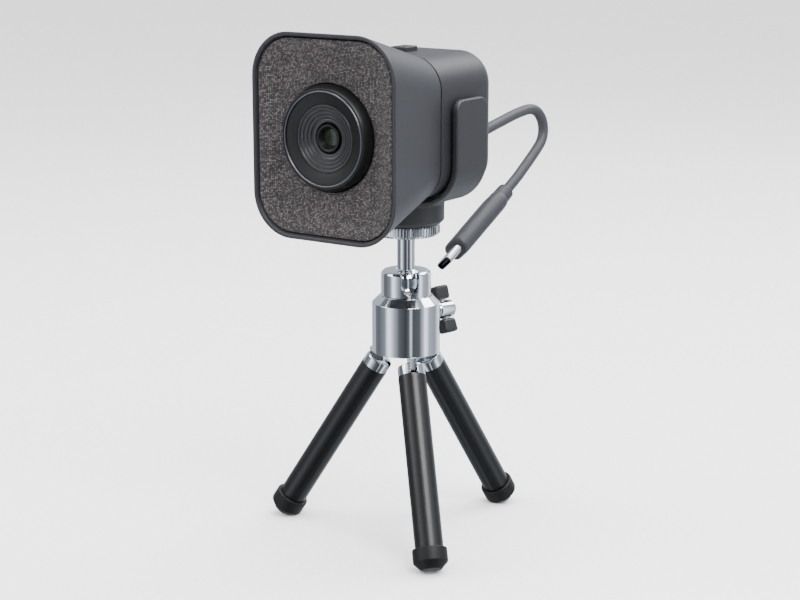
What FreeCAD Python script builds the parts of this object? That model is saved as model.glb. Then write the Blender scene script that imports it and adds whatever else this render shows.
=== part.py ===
"""A desktop webcam on a folding mini tripod with a ball head.

Millimetres, +Z up. The origin is the point on the floor under the tripod's centre line, which
is also the line of the ball head's stem. The webcam looks along -Y. Three legs stand at
75, 195 and 315 degrees about +Z, and the ball head's drop slot is over the leg at 315 degrees.
"""
import math
import os

import FreeCAD
import Part
import Sketcher
from FreeCAD import Placement, Rotation, Vector

doc = FreeCAD.newDocument("webcam_on_tripod")

# ---------------------------------------------------------------- driving dimensions
SIZES = {
    # webcam housing: the front frame is tall, the back is square, and the sides taper between
    "face_width": 49.1, "face_height": 58.0, "face_corner": 12.85, "face_y": -40.5,
    "camera_z": 123.8, "back_rise": 0.8, "back_side": 40.8, "back_corner": 9.5,
    "seam_depth": 28.3, "back_depth": 57.1, "back_rounding": 5.5, "seam_gap": 0.25,
    "housing_wall": 1.7, "rim_width": 1.15, "lip_depth": 2.2,
    "ledge_depth": 23.5, "ledge_thick": 2.3, "case_screw": 1.0, "case_screw_at": 14.2,
    "pillar": 2.4, "board_screw": 0.8, "board_screw_at": 13.0,
    "lug_width": 4.4, "lug_length": 5.8, "lug_rise": 1.0, "lug_y": -0.6,
    # dished front: a moulded grille plate with a fabric skin
    "dish_gap": 0.45, "fabric_thick": 0.55, "fabric_edge": 1.35, "fabric_floor": 3.3,
    "dish_inset": 7.0, "grille_thick": 1.3, "lens_hole": 15.25,
    # lens surround and optics
    "surround_base": 15.1, "surround_front": 13.95, "rim_ring_outer": 13.44,
    "rim_ring_inner": 12.85, "rim_ring_depth": 1.0, "band_inner": 9.55,
    "cone_depth": 1.3, "cone_inner": 5.4, "cone_step": 0.42,
    "barrel_front": 3.85, "barrel_body": 3.3, "glass_radius": 2.5, "barrel_start": 2.6,
    "glass_depth": 4.4, "barrel_end": 11.0, "carrier_outer": 5.4, "coil_outer": 6.1,
    "yoke_side": 17.0, "yoke_bore": 7.6, "yoke_start": 5.2, "yoke_end": 10.4,
    "board_thick": 1.0, "sensor_board_depth": 14.4, "main_board_depth": 40.0,
    # cradle: a U that carries the back of the housing on its side lugs
    "arm_outer": 23.2, "arm_thick": 2.0, "arm_width": 16.0, "arm_top": 132.8,
    "web_bottom": 101.7, "web_thick": 1.4, "cradle_round": 13.0, "arm_round": 3.5,
    "boss_radius": 11.3, "boss_bottom": 94.65, "boss_chamfer": 1.1,
    "insert_radius": 4.6, "insert_top": 101.5,
    # ball head
    "ball_z": 76.6, "ball_radius": 4.9, "ball_gap": 0.09, "stem_radius": 2.63,
    "stud_radius": 3.1, "stud_start": 91.0, "stud_end": 100.6, "thread_gap": 0.06,
    "disc_radius": 10.05, "disc_bottom": 91.2, "disc_top": 94.4, "disc_chamfer": 0.6,
    "socket_radius": 7.44, "socket_top": 80.6, "socket_mouth": 3.5, "socket_round": 1.5,
    "slot_width": 5.4, "spigot_radius": 6.8, "spigot_bottom": 69.4, "seat_radius": 4.99,
    "seat_top": 73.4, "seat_bottom": 68.5, "seat_foot": 0.8, "seat_foot_at": 2.6,
    # hub
    "hub_radius": 10.12, "hub_bottom": 55.75, "hub_shoulder": 70.7, "hub_top": 72.9,
    "hub_neck": 7.9, "hub_bore_bottom": 62.0, "recess_radius": 8.9, "recess_top": 56.9,
    "spider_bottom": 55.3, "screw_radius": 1.5, "screw_head": 2.7,
    # thumb screw: M4 in the hub's side
    "thumb_z": 66.1, "thumb_radius": 2.0, "thumb_pilot": 2.05,
    "thumb_inner": 6.4, "thumb_neck": 12.2, "thumb_end": 18.9, "thumb_hub": 2.7,
    "crossbar_at": 14.9, "crossbar_radius": 1.25, "crossbar_length": 13.2,
    "crossbar_turn": -21.0, "grip_long": 4.3, "grip_wide": 5.6, "grip_thick": 4.2,
    "grip_centre": 5.1, "pin_nose": 1.0, "pin_base": 4.3, "pin_radius": 1.9,
    # legs, measured along each leg from the top of its clevis
    "leg_splay": 32.0, "pivot_reach": 9.1, "pivot_z": 51.6, "pivot_down": 1.65,
    "clevis_radius": 4.05, "tube_start": 3.25, "tube_radius": 4.14, "tube_bore": 3.5,
    "clevis_end": 11.0, "tongue_thick": 2.0, "slot_clear": 0.06, "tongue_round": 2.2,
    "hinge_pin": 0.9, "hinge_clear": 0.04, "tube_end": 58.4, "foot_start": 54.9,
    "foot_end": 61.05, "foot_radius": 5.08, "foot_chamfer": 2.2, "foot_bore": 4.17,
    # cable and plug
    "cable_radius": 1.65, "gland_z": 115.3, "gland_base": 3.1, "gland_tip": 2.25,
    "collar_length": 5.1, "collar_base": 2.55, "collar_tip": 2.15,
    "mould_length": 24.3, "mould_wide": 11.4, "mould_thick": 6.1, "mould_corner": 2.9,
    "shell_wide": 8.34, "shell_thick": 2.56, "shell_length": 6.3, "shell_wall": 0.3,
}
LEG_ANGLES = {1: 195.0, 2: 315.0, 3: 75.0}
SLOT_ANGLE = LEG_ANGLES[2]
THUMB_ANGLE = LEG_ANGLES[3]
# the cable's route: out of the gland, back and up, over a tight bend and down to the plug
CABLE_ROUTE = [
    (0.0, 22.0, 115.3), (0.0, 32.0, 115.3), (0.5, 42.6, 117.4), (1.1, 50.5, 119.15),
    (1.9, 58.6, 121.0), (2.8, 67.6, 122.1), (3.4, 72.5, 117.7), (3.9, 72.0, 111.6),
    (4.3, 65.4, 107.4), (4.35, 59.5, 103.75), (4.22, 54.74, 100.63), (3.7, 50.28, 97.82),
]
PLUG_ROLL = 42.0  # degrees that the plug is turned about its own length

sheet = doc.addObject("Spreadsheet::Sheet", "size")
for row, (alias, number) in enumerate(SIZES.items(), start=1):
    sheet.set(f"A{row}", str(number))
    sheet.setAlias(f"A{row}", alias)
doc.recompute()


def value(expression):
    """The number that an expression on the sheet's aliases, or a plain number, stands for."""
    if isinstance(expression, (int, float)):
        return float(expression)
    return float(sheet.evalExpression(expression.replace("size.", "")))


def bind(thing, path, expression):
    """Sets a property from the sheet: a plain number is set, an expression is bound."""
    if isinstance(expression, (int, float)):
        thing.setExpression(path, str(float(expression)))
    else:
        thing.setExpression(path, expression)


# ---------------------------------------------------------------- placements
def from_axes(base, x_axis, z_axis):
    """A placement whose local Z lies along z_axis and local X near x_axis."""
    return Placement(base, Rotation(x_axis, Vector(0, 0, 0), z_axis, "ZXY"))


def radial(angle, reach=0.0, height=0.0):
    """The point at that angle about +Z, reach from the tripod's centre line."""
    turn = math.radians(angle)
    return Vector(reach * math.cos(turn), reach * math.sin(turn), height)


HERE = Placement()
# local Z runs back from the face, so local depth 0 is the face plane; local Y points down
CAMERA = Placement(Vector(0, value("size.face_y"), value("size.camera_z")),
                   Rotation(Vector(1, 0, 0), -90))


def along_radius(angle, height):
    """Local Z runs outward from the centre line, local X up."""
    return from_axes(Vector(0, 0, height), Vector(0, 0, 1), radial(angle, 1.0))


def leg_place(angle):
    """Local Z runs down the leg from the clevis's top, local X is tangential."""
    splay = math.radians(value("size.leg_splay"))
    down = radial(angle, math.sin(splay), -math.cos(splay))
    pivot = radial(angle, value("size.pivot_reach"), value("size.pivot_z"))
    top = pivot - down * value("size.pivot_down")
    return from_axes(top, radial(angle + 90, 1.0), down)


# ---------------------------------------------------------------- shape helpers
def new_body(label, place=HERE):
    body = doc.addObject("PartDesign::Body", label)
    body.Label = label
    body.Placement = place
    return body


def new_sketch(body, plane, offset=None):
    sketch = body.newObject("Sketcher::SketchObject", body.Name + "_sketch")
    support = [o for o in body.Origin.OriginFeatures if o.Role == plane][0]
    sketch.AttachmentSupport = [(support, "")]
    sketch.MapMode = "FlatFace"
    if offset is not None:
        bind(sketch, "AttachmentOffset.Base.z", offset)
    return sketch


def pin_down(sketch, kind, first, second, expression):
    """Adds a signed distance between two sketch points and binds it to the sheet."""
    number = sketch.addConstraint(Sketcher.Constraint(kind, *first, *second, value(expression)))
    bind(sketch, f"Constraints[{number}]", expression)


def polygon(sketch, points):
    """A closed outline of straight lines, every corner tied to the sheet."""
    places = [Vector(value(a), value(b), 0) for a, b in points]
    count = len(points)
    for i in range(count):
        sketch.addGeometry(Part.LineSegment(places[i], places[(i + 1) % count]))
    for i in range(count):
        sketch.addConstraint(Sketcher.Constraint("Coincident", i, 2, (i + 1) % count, 1))
    for i, (across, along) in enumerate(points):
        for kind, axis, expression in (("DistanceX", -2, across), ("DistanceY", -1, along)):
            if value(expression) == 0:
                sketch.addConstraint(Sketcher.Constraint("PointOnObject", i, 1, axis))
            elif value(expression) > 0:
                pin_down(sketch, kind, (-1, 1), (i, 1), expression)
            else:
                pin_down(sketch, kind, (i, 1), (-1, 1), f"-({expression})")


def turned(label, points, place=HERE):
    """A turned piece: (radius, height) corners swept right round local Z."""
    body = new_body(label, place)
    sketch = new_sketch(body, "XZ_Plane")
    polygon(sketch, points)
    spin = body.newObject("PartDesign::Revolution", label + "_spin")
    spin.Profile = sketch
    spin.ReferenceAxis = (sketch, ["V_Axis"])
    spin.Angle = 360
    sketch.Visibility = False
    return body


def rounded_outline(sketch, width, height, corner, rise=0.0):
    """A rectangle with round corners about the sketch's origin, moved up by rise."""
    w, h, r, up = value(width) / 2, value(height) / 2, value(corner), value(rise)
    low, high = up - h, up + h
    corners = [(w - r, low + r, -90), (w - r, high - r, 0),
               (r - w, high - r, 90), (r - w, low + r, 180)]
    lines = [((r - w, low), (w - r, low)), ((w, low + r), (w, high - r)),
             ((w - r, high), (r - w, high)), ((-w, high - r), (-w, low + r))]
    for (start, end), (x, y, begin) in zip(lines, corners):
        sketch.addGeometry(Part.LineSegment(Vector(*start, 0), Vector(*end, 0)))
        circle = Part.Circle(Vector(x, y, 0), Vector(0, 0, 1), r)
        sketch.addGeometry(Part.ArcOfCircle(circle, math.radians(begin), math.radians(begin + 90)))
    for i in range(8):
        sketch.addConstraint(Sketcher.Constraint("Tangent", i, 2, (i + 1) % 8, 1))
    for i, kind in ((0, "Horizontal"), (2, "Vertical"), (4, "Horizontal"), (6, "Vertical")):
        sketch.addConstraint(Sketcher.Constraint(kind, i))
    for i in (3, 5, 7):
        sketch.addConstraint(Sketcher.Constraint("Equal", 1, i))
    number = sketch.addConstraint(Sketcher.Constraint("Radius", 1, r))
    bind(sketch, f"Constraints[{number}]", corner)
    half_width, half_height = f"({width}) / 2", f"({height}) / 2"
    pin_down(sketch, "DistanceX", (-1, 1), (2, 1), half_width)
    pin_down(sketch, "DistanceX", (6, 1), (-1, 1), half_width)
    pin_down(sketch, "DistanceY", (-1, 1), (4, 1), f"{half_height} + ({rise})")
    pin_down(sketch, "DistanceY", (0, 1), (-1, 1), f"{half_height} - ({rise})")


def slab(label, outline, start, end, place=CAMERA, plane="XY_Plane"):
    """A rounded rectangle (width, height, corner[, rise]) padded from start to end."""
    body = new_body(label, place)
    sketch = new_sketch(body, plane, start)
    rounded_outline(sketch, *outline)
    pad = body.newObject("PartDesign::Pad", label + "_pad")
    pad.Profile = sketch
    bind(pad, "Length", f"({end}) - ({start})")
    sketch.Visibility = False
    return body


def tapered(label, first, start, second, end, place=CAMERA):
    """A solid between two rounded rectangles at two depths."""
    body = new_body(label, place)
    near, far = new_sketch(body, "XY_Plane", start), new_sketch(body, "XY_Plane", end)
    rounded_outline(near, *first)
    rounded_outline(far, *second)
    loft = body.newObject("PartDesign::AdditiveLoft", label + "_loft")
    loft.Profile = near
    loft.Sections = [far]
    loft.Ruled = True
    return body


def spot(place, at, rotation=Rotation()):
    """A placement at a local point, three numbers or expressions, of another placement."""
    return place.multiply(Placement(Vector(*(value(number) for number in at)), rotation))


def box(label, length, width, height, corner, place=HERE):
    """A block with its lowest corner at a local point of the placement."""
    block = doc.addObject("Part::Box", label)
    for path, size in (("Length", length), ("Width", width), ("Height", height)):
        bind(block, path, size)
    block.Placement = spot(place, corner)
    return block


def centred_box(label, length, width, height, centre=(0, 0, 0), place=HERE):
    corner = [value(at) - value(size) / 2 for at, size in zip(centre, (length, width, height))]
    return box(label, length, width, height, corner, place)


def rod(label, radius, height, base=(0, 0, 0), axis=Vector(0, 0, 1), place=HERE):
    """A cylinder that starts at a local point of the placement and runs along local axis."""
    cylinder = doc.addObject("Part::Cylinder", label)
    bind(cylinder, "Radius", radius)
    bind(cylinder, "Height", height)
    cylinder.Placement = spot(place, base, Rotation(Vector(0, 0, 1), axis))
    return cylinder


def cut(label, base, *tools, place=None):
    """What is left of base when the tools are taken away."""
    result = base
    for number, tool in enumerate(tools, start=1):
        step = doc.addObject("Part::Cut", f"{label}_cut{number}")
        step.Base, step.Tool = result, tool
        result = step
    result.Label = label
    if place is not None:
        result.Placement = place
    return result


def joined(label, *pieces, place=None):
    union = doc.addObject("Part::MultiFuse", label + "_union")
    union.Shapes = list(pieces)
    union.Label = label
    if place is not None:
        union.Placement = place
    return union


def grouped(label, pieces, place=None):
    """Identical separate pieces that share one node."""
    group = doc.addObject("Part::Compound", label + "_group")
    group.Links = list(pieces)
    group.Label = label
    if place is not None:
        group.Placement = place
    return group


def rounded_edges(label, base, radius, chosen):
    """Part::Fillet on the edges that chosen(edge) picks."""
    doc.recompute()
    fillet = doc.addObject("Part::Fillet", label + "_fillet")
    fillet.Base = base
    size = value(radius)
    fillet.Edges = [(i, size, size) for i, edge in enumerate(base.Shape.Edges, start=1)
                    if chosen(edge)]
    fillet.Label = label
    return fillet


nodes = []


def keep(piece):
    """Marks a finished piece as a node that is written to its own file."""
    nodes.append(piece)
    return piece


# ---------------------------------------------------------------- hub and ball socket
def make_hub():
    shell = turned("hub_blank", [
        ("size.screw_radius + 0.05", "size.recess_top"), ("size.recess_radius", "size.recess_top"),
        ("size.recess_radius", "size.hub_bottom"), ("size.hub_radius", "size.hub_bottom"),
        ("size.hub_radius", "size.hub_shoulder"), ("size.hub_neck", "size.hub_top"),
        ("size.spigot_radius + 0.02", "size.hub_top"),
        ("size.spigot_radius + 0.02", "size.spigot_bottom"),
        ("size.seat_radius + 0.06", "size.spigot_bottom"),
        ("size.seat_radius + 0.06", "size.hub_bore_bottom"),
        ("size.screw_radius + 0.05", "size.hub_bore_bottom")])
    bore = rod("thumb_bore", "size.thumb_pilot", "size.hub_radius + 1",
               place=along_radius(THUMB_ANGLE, value("size.thumb_z")))
    return keep(cut("leg_hub", shell, bore))


def make_socket():
    shell = turned("socket_blank", [
        ("size.seat_radius + 0.06", "size.spigot_bottom"),
        ("size.spigot_radius", "size.spigot_bottom"), ("size.spigot_radius", "size.hub_top"),
        ("size.socket_radius", "size.hub_top"),
        ("size.socket_radius", "size.socket_top - size.socket_round"),
        ("size.socket_radius - size.socket_round * 0.29", "size.socket_top - size.socket_round * 0.29"),
        ("size.socket_radius - size.socket_round", "size.socket_top"),
        ("size.socket_mouth", "size.socket_top"), ("size.socket_mouth", "size.ball_z + 2"),
        ("size.seat_radius + 0.06", "size.ball_z")])
    ball_room = doc.addObject("Part::Sphere", "socket_cavity")
    bind(ball_room, "Radius", "size.ball_radius + size.ball_gap")
    bind(ball_room, "Placement.Base.z", "size.ball_z")
    groove = centred_box("socket_slot", 20, "size.slot_width", 12, (10, 0, 6))
    round_end = rod("socket_slot_end", "size.slot_width / 2", 20, axis=Vector(1, 0, 0))
    drop_slot = joined("socket_slot_tool", groove, round_end)
    drop_slot.Placement = Placement(Vector(0, 0, value("size.ball_z")),
                                    Rotation(Vector(0, 0, 1), SLOT_ANGLE))
    return keep(cut("ball_socket", shell, ball_room, drop_slot))


def make_spider():
    """A plate let into the hub's underside, with one tongue down to each leg's hinge."""
    plate = turned("spider_plate", [
        ("size.screw_radius + 0.1", "size.spider_bottom"),
        ("size.recess_radius - 0.06", "size.spider_bottom"),
        ("size.recess_radius - 0.06", "size.recess_top - 0.02"),
        ("size.screw_radius + 0.1", "size.recess_top - 0.02")])
    tongues, holes = [], []
    half = value("size.tongue_thick / 2")
    for number, angle in LEG_ANGLES.items():
        place = Placement(radial(angle, value("size.pivot_reach"), value("size.pivot_z")),
                          Rotation(Vector(0, 0, 1), angle))
        round_end = rod(f"tongue_{number}_end", "size.tongue_round", "size.tongue_thick",
                        (0, half, 0), Vector(0, -1, 0), place)
        shank = box(f"tongue_{number}_shank", "size.tongue_round * 2", "size.tongue_thick",
                    "size.hub_bottom - size.pivot_z - 0.05", ("-size.tongue_round", -half, 0),
                    place)
        tongues.append(joined(f"tongue_{number}", round_end, shank))
        holes.append(rod(f"tongue_{number}_hole", "size.hinge_pin + size.hinge_clear", 12,
                         (0, 6, 0), Vector(0, -1, 0), place))
    joint = joined("spider_joined", plate, *tongues)
    return keep(cut("leg_spider", joint, *holes))


def make_hub_screw():
    return keep(turned("hub_screw", [
        (0, "size.spider_bottom - 1.5"), ("size.screw_head - 0.5", "size.spider_bottom - 1.5"),
        ("size.screw_head", "size.spider_bottom - 1.0"), ("size.screw_head", "size.spider_bottom"),
        ("size.screw_radius", "size.spider_bottom"),
        ("size.screw_radius", "size.hub_bore_bottom + 0.6"), (0, "size.hub_bore_bottom + 0.6")]))


# ---------------------------------------------------------------- clamp
def make_ball_seat():
    """A cup under the ball, with a foot that stands on the wedge pin's nose."""
    cup = turned("seat_blank", [
        (0, "size.seat_bottom"), ("size.seat_radius", "size.seat_bottom"),
        ("size.seat_radius", "size.seat_top"), (0, "size.seat_top")])
    nose_slope = "((size.pin_radius) / (size.pin_base - size.pin_nose))"
    foot_bottom = f"size.thumb_z + (size.seat_foot_at + size.seat_foot - size.pin_nose)" \
                  f" * {nose_slope} + 0.05"
    foot = rod("seat_foot", "size.seat_foot", f"size.seat_bottom + 0.5 - ({foot_bottom})",
               ("size.seat_foot_at", 0, foot_bottom),
               place=Placement(Vector(0, 0, 0), Rotation(Vector(0, 0, 1), THUMB_ANGLE)))
    ball_room = doc.addObject("Part::Sphere", "seat_cavity")
    bind(ball_room, "Radius", "size.ball_radius + 0.06")
    bind(ball_room, "Placement.Base.z", "size.ball_z")
    return keep(cut("ball_seat", joined("seat_joined", cup, foot), ball_room))


def make_wedge_pin():
    return keep(turned("wedge_pin", [
        (0, "size.pin_nose"), ("size.pin_radius", "size.pin_base"),
        ("size.pin_radius", "size.thumb_inner - 0.05"), (0, "size.thumb_inner - 0.05")],
        along_radius(THUMB_ANGLE, value("size.thumb_z"))))


def make_thumb_screw():
    place = along_radius(THUMB_ANGLE, value("size.thumb_z"))
    screw = turned("thumb_screw_blank", [
        (0, "size.thumb_inner"), ("size.thumb_radius", "size.thumb_inner"),
        ("size.thumb_radius", "size.thumb_neck"), ("size.thumb_hub", "size.thumb_neck + 0.7"),
        ("size.thumb_hub", "size.thumb_end - 1.3"), ("size.thumb_hub - 1.3", "size.thumb_end"),
        (0, "size.thumb_end")])
    hole = rod("crossbar_hole", "size.crossbar_radius + 0.02", 20,
               (-10, 0, "size.crossbar_at"), Vector(1, 0, 0))
    turn = place.multiply(Placement(Vector(0, 0, 0),
                                    Rotation(Vector(0, 0, 1), value("size.crossbar_turn"))))
    keep(cut("thumb_screw", screw, hole, place=turn))
    bar = rod("crossbar_blank", "size.crossbar_radius", "size.crossbar_length",
              ("-size.crossbar_length / 2", 0, "size.crossbar_at"), Vector(1, 0, 0))
    keep(grouped("thumb_crossbar", [bar], turn))
    grips = []
    for side in (-1, 1):
        grip = centred_box(f"grip_{side}", "size.grip_long", "size.grip_thick", "size.grip_wide",
                           (f"{side} * size.grip_centre", 0, "size.crossbar_at"))
        grips.append(rounded_edges(f"grip_{side}_round", grip, 1.0, lambda edge: True))
    bores = [rod(f"grip_bore_{i}", "size.crossbar_radius + 0.02", 30,
                 (-15, 0, "size.crossbar_at"), Vector(1, 0, 0)) for i in (0, 1)]
    bored = [cut(f"grip_bored_{i}", grip, bore) for i, (grip, bore) in enumerate(zip(grips, bores))]
    keep(grouped("thumb_grips", bored, turn))


def make_ball_stem():
    """The ball, its stem and the 1/4-20 stud, turned from one bar."""
    shank = turned("stem_blank", [
        (0, "size.ball_z"), ("size.stem_radius", "size.ball_z"),
        ("size.stem_radius", "size.stud_start - 0.4"), ("size.stud_radius", "size.stud_start"),
        ("size.stud_radius", "size.stud_end - 0.6"), ("size.stud_radius - 0.6", "size.stud_end"),
        (0, "size.stud_end")])
    ball = doc.addObject("Part::Sphere", "stem_ball")
    bind(ball, "Radius", "size.ball_radius")
    bind(ball, "Placement.Base.z", "size.ball_z")
    return keep(joined("ball_stem", shank, ball))


def make_lock_disc():
    bore = "size.stud_radius + size.thread_gap"
    return keep(turned("lock_disc", [
        (bore, "size.disc_bottom"), ("size.disc_radius - size.disc_chamfer", "size.disc_bottom"),
        ("size.disc_radius", "size.disc_bottom + size.disc_chamfer"),
        ("size.disc_radius", "size.disc_top - 0.2"), ("size.disc_radius - 0.2", "size.disc_top"),
        (bore, "size.disc_top")]))


# ---------------------------------------------------------------- legs
def make_leg(number, angle):
    place = leg_place(angle)
    name = f"leg_{number}"
    stock = turned(name + "_clevis_blank", [
        (0, 0), ("size.clevis_radius - 0.5", 0), ("size.clevis_radius", 0.5),
        ("size.clevis_radius", "size.tube_start"), ("size.tube_bore - 0.02", "size.tube_start"),
        ("size.tube_bore - 0.02", "size.clevis_end"), (0, "size.clevis_end")])
    slot = centred_box(name + "_slot", "size.tongue_thick + 2 * size.slot_clear", 20, 20,
                       (0, 0, "size.pivot_down + size.tongue_round + 0.3 - 10"))
    hole = rod(name + "_hinge_hole", "size.hinge_pin + 0.01", 20, (-10, 0, "size.pivot_down"),
               Vector(1, 0, 0))
    keep(cut(name + "_clevis", stock, slot, hole, place=place))
    pin = rod(name + "_pin_blank", "size.hinge_pin", "2 * size.clevis_radius - 0.5",
              ("0.25 - size.clevis_radius", 0, "size.pivot_down"), Vector(1, 0, 0))
    keep(grouped(name + "_pin", [pin], place))
    keep(turned(name + "_tube", [
        ("size.tube_bore", "size.tube_start + 0.02"), ("size.tube_radius", "size.tube_start + 0.02"),
        ("size.tube_radius", "size.tube_end"), ("size.tube_bore", "size.tube_end")], place))
    cap = turned(name + "_foot_blank", [
        (0, "size.tube_end + 0.03"), ("size.foot_bore", "size.tube_end + 0.03"),
        ("size.foot_bore", "size.foot_start"), ("size.foot_radius - 0.3", "size.foot_start"),
        ("size.foot_radius", "size.foot_start + 0.3"),
        ("size.foot_radius", "size.foot_end - size.foot_chamfer"),
        ("size.foot_radius - size.foot_chamfer", "size.foot_end"), (0, "size.foot_end")], place)
    floor = centred_box(name + "_floor", 200, 200, 10, (0, 0, -5))
    keep(cut(name + "_foot", cap, floor))


# ---------------------------------------------------------------- webcam housings
FACE = ("size.face_width", "size.face_height", "size.face_corner")
BACK = ("size.back_side", "size.back_side", "size.back_corner", "-size.back_rise")


def inset(outline, by):
    """The outline drawn in by a distance on every side."""
    width, height, corner, *rise = outline
    return (f"{width} - 2 * ({by})", f"{height} - 2 * ({by})", f"{corner} - ({by})", *rise)


def front_inside(depth, gap=0):
    """The outline of the front housing's inner wall at a depth, drawn in by a gap."""
    part = f"(({depth}) / size.seam_depth)"
    wall = f"(size.rim_width + (size.housing_wall - size.rim_width) * {part} + {gap})"
    return (f"size.face_width + (size.back_side - size.face_width) * {part} - 2 * {wall}",
            f"size.face_height + (size.back_side - size.face_height) * {part} - 2 * {wall}",
            f"size.face_corner + (size.back_corner - size.face_corner) * {part} - {wall}",
            f"-size.back_rise * {part}")


def make_front_housing():
    """A tapering shell, with an inner ledge near the seam that takes the housing's screws."""
    outer = tapered("front_outer", FACE, 0, BACK, "size.seam_depth")
    inner = tapered("front_inner", front_inside(0), 0, front_inside("size.seam_depth"),
                    "size.seam_depth")
    start, end = "size.ledge_depth", "size.ledge_depth + size.ledge_thick"
    ledge = slab("front_ledge", ("size.back_side - 1.2", "size.back_side - 0.2",
                                 "size.back_corner - 0.6", "0.05 - size.back_rise"), start, end)
    opening = slab("front_ledge_opening", inset(BACK, "size.housing_wall + 5.9"), start, end)
    holes = [rod(f"ledge_hole_{number}", "size.case_screw + 0.1", 6, (x, y, f"{start} - 1"),
                 place=CAMERA)
             for number, (x, y) in enumerate(corners("size.case_screw_at"))]
    shell = cut("front_shell", outer, inner)
    drilled = cut("front_ledge_drilled", ledge, opening, *holes)
    return keep(joined("front_housing", shell, drilled))


def corners(reach):
    """Four places, at plus and minus reach from the middle of the back of the housing."""
    return [(f"{sx} * {reach}", f"{sy} * {reach} - size.back_rise")
            for sx in (-1, 1) for sy in (-1, 1)]


def make_rear_housing():
    """A cup with a stepped lip inside the front housing and four lugs, one on each side."""
    start = "size.seam_depth + size.seam_gap"
    outer = slab("rear_outer", BACK, start, "size.back_depth")
    far = value("size.back_depth")
    at_back = lambda edge: all(abs(v.Point.y - value("size.face_y") - far) < 0.01
                               for v in edge.Vertexes)
    shell = rounded_edges("rear_round", outer, "size.back_rounding", at_back)
    inner = slab("rear_inner", inset(BACK, "size.housing_wall + 0.9"),
                 "size.seam_depth - 6", "size.back_depth - size.housing_wall")
    deep = value("size.back_depth - size.housing_wall")
    at_floor = lambda edge: all(abs(v.Point.y - value("size.face_y") - deep) < 0.01
                                for v in edge.Vertexes)
    hollow = rounded_edges("rear_hollow", inner, 3.5, at_floor)
    lip_outline = inset(BACK, "size.housing_wall + 0.35")
    lip = slab("rear_lip", lip_outline, "size.seam_depth - size.lip_depth", f"{start} + 0.5")
    middle = "size.camera_z + size.back_rise"
    lugs = []
    for side, (dx, dz) in enumerate(((1, 0), (-1, 0), (0, 1), (0, -1))):
        sizes = (("2", "size.lug_length", "size.lug_width") if dx
                 else ("size.lug_width", "size.lug_length", "2"))
        lug = centred_box(f"lug_{side}", *sizes, (f"{dx} * (size.back_side / 2 + size.lug_rise - 1)",
                                                "size.lug_y",
                                                f"{middle} + {dz} * (size.back_side / 2"
                                                f" + size.lug_rise - 1)"))
        lugs.append(lug)
    outlet = rod("gland_hole", "size.gland_tip", 8, (0, "size.face_y + size.back_depth - 6",
                                                    "size.gland_z"), Vector(0, 1, 0))
    cup = cut("rear_cup", joined("rear_body", shell, lip, *lugs), hollow, outlet)
    near, far = "size.seam_depth - size.lip_depth", "size.back_depth - size.housing_wall + 0.2"
    board = "size.main_board_depth + size.board_thick + 0.02"
    pillars, holes = [], []
    for number, (x, y) in enumerate(corners("size.case_screw_at")):
        pillars.append(rod(f"case_pillar_{number}", "size.pillar", 11, (x, y, near),
                           place=CAMERA))
        holes.append(rod(f"case_hole_{number}", "size.case_screw + 0.02", 10, (x, y, near),
                         place=CAMERA))
    for number, (x, y) in enumerate(corners("size.board_screw_at")):
        pillars.append(rod(f"board_pillar_{number}", 2.0, f"{far} - ({board})", (x, y, board),
                           place=CAMERA))
        holes.append(rod(f"board_hole_{number}", "size.board_screw + 0.02", 6, (x, y, board),
                         place=CAMERA))
    return keep(cut("rear_housing", joined("rear_pillared", cup, *pillars), *holes))


def screws(label, places, under_head, length, radius, head_radius):
    """Screws driven backward: each head ends at under_head and its shank runs on from there."""
    pieces = []
    for number, (x, y) in enumerate(places):
        head = rod(f"{label}_head_{number}", head_radius, 1.2, (x, y, f"{under_head} - 1.22"))
        shank = rod(f"{label}_shank_{number}", radius, f"{length} + 0.2",
                    (x, y, f"{under_head} - 0.2"))
        pieces.append(joined(f"{label}_{number}", head, shank))
    return keep(grouped(label, pieces, CAMERA))


def panel(label, start, end):
    """A plate that fills the front housing's mouth between two depths, but for the gap."""
    gap = "size.dish_gap"
    return tapered(label, front_inside(start, gap), start, front_inside(end, gap), end)


def dish(label, start, floor):
    """The solid that fills the dished front between its edge depth and its flat floor."""
    return tapered(label, front_inside(start, "size.dish_gap + 0.8"), start,
                   front_inside(floor, "size.dish_gap + size.dish_inset"), floor)


def sensor_corners():
    return [(f"{sx} * 12.5", f"{sy} * 14.5") for sx in (-1, 1) for sy in (-1, 1)]


def make_front_panel():
    """The moulded grille plate, with posts for the sensor's board, and its fabric skin."""
    edge = "(size.fabric_edge + size.fabric_thick)"
    floor = "(size.fabric_floor + size.fabric_thick)"
    back = f"({floor} + size.grille_thick)"
    holes = [rod(f"{name}_hole", "size.lens_hole", 12, place=CAMERA)
             for name in ("grille", "fabric")]
    posts = [rod(f"grille_post_{number}", 2.2, f"size.sensor_board_depth - 0.02 - {back} + 0.3",
                 (x, y, f"{back} - 0.3"), place=CAMERA)
             for number, (x, y) in enumerate(sensor_corners())]
    drills = [rod(f"post_hole_{number}", "size.board_screw + 0.02", 5,
                  (x, y, "size.sensor_board_depth - 4.5"), place=CAMERA)
              for number, (x, y) in enumerate(sensor_corners())]
    hollow_plate = cut("grille_dished", panel("grille_blank", f"{edge} + 0.02", back),
                       dish("grille_dish", f"{edge} + 0.02", f"{floor} + 0.02"), holes[0])
    keep(cut("grille_plate", joined("grille_posted", hollow_plate, *posts), *drills))
    underside = cut("fabric_underside", panel("fabric_behind", edge, floor),
                    dish("fabric_back_dish", edge, floor))
    keep(cut("fabric_cover", panel("fabric_blank", "size.fabric_edge", floor),
             dish("fabric_front_dish", "size.fabric_edge", "size.fabric_floor"), underside,
             holes[1]))


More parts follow.
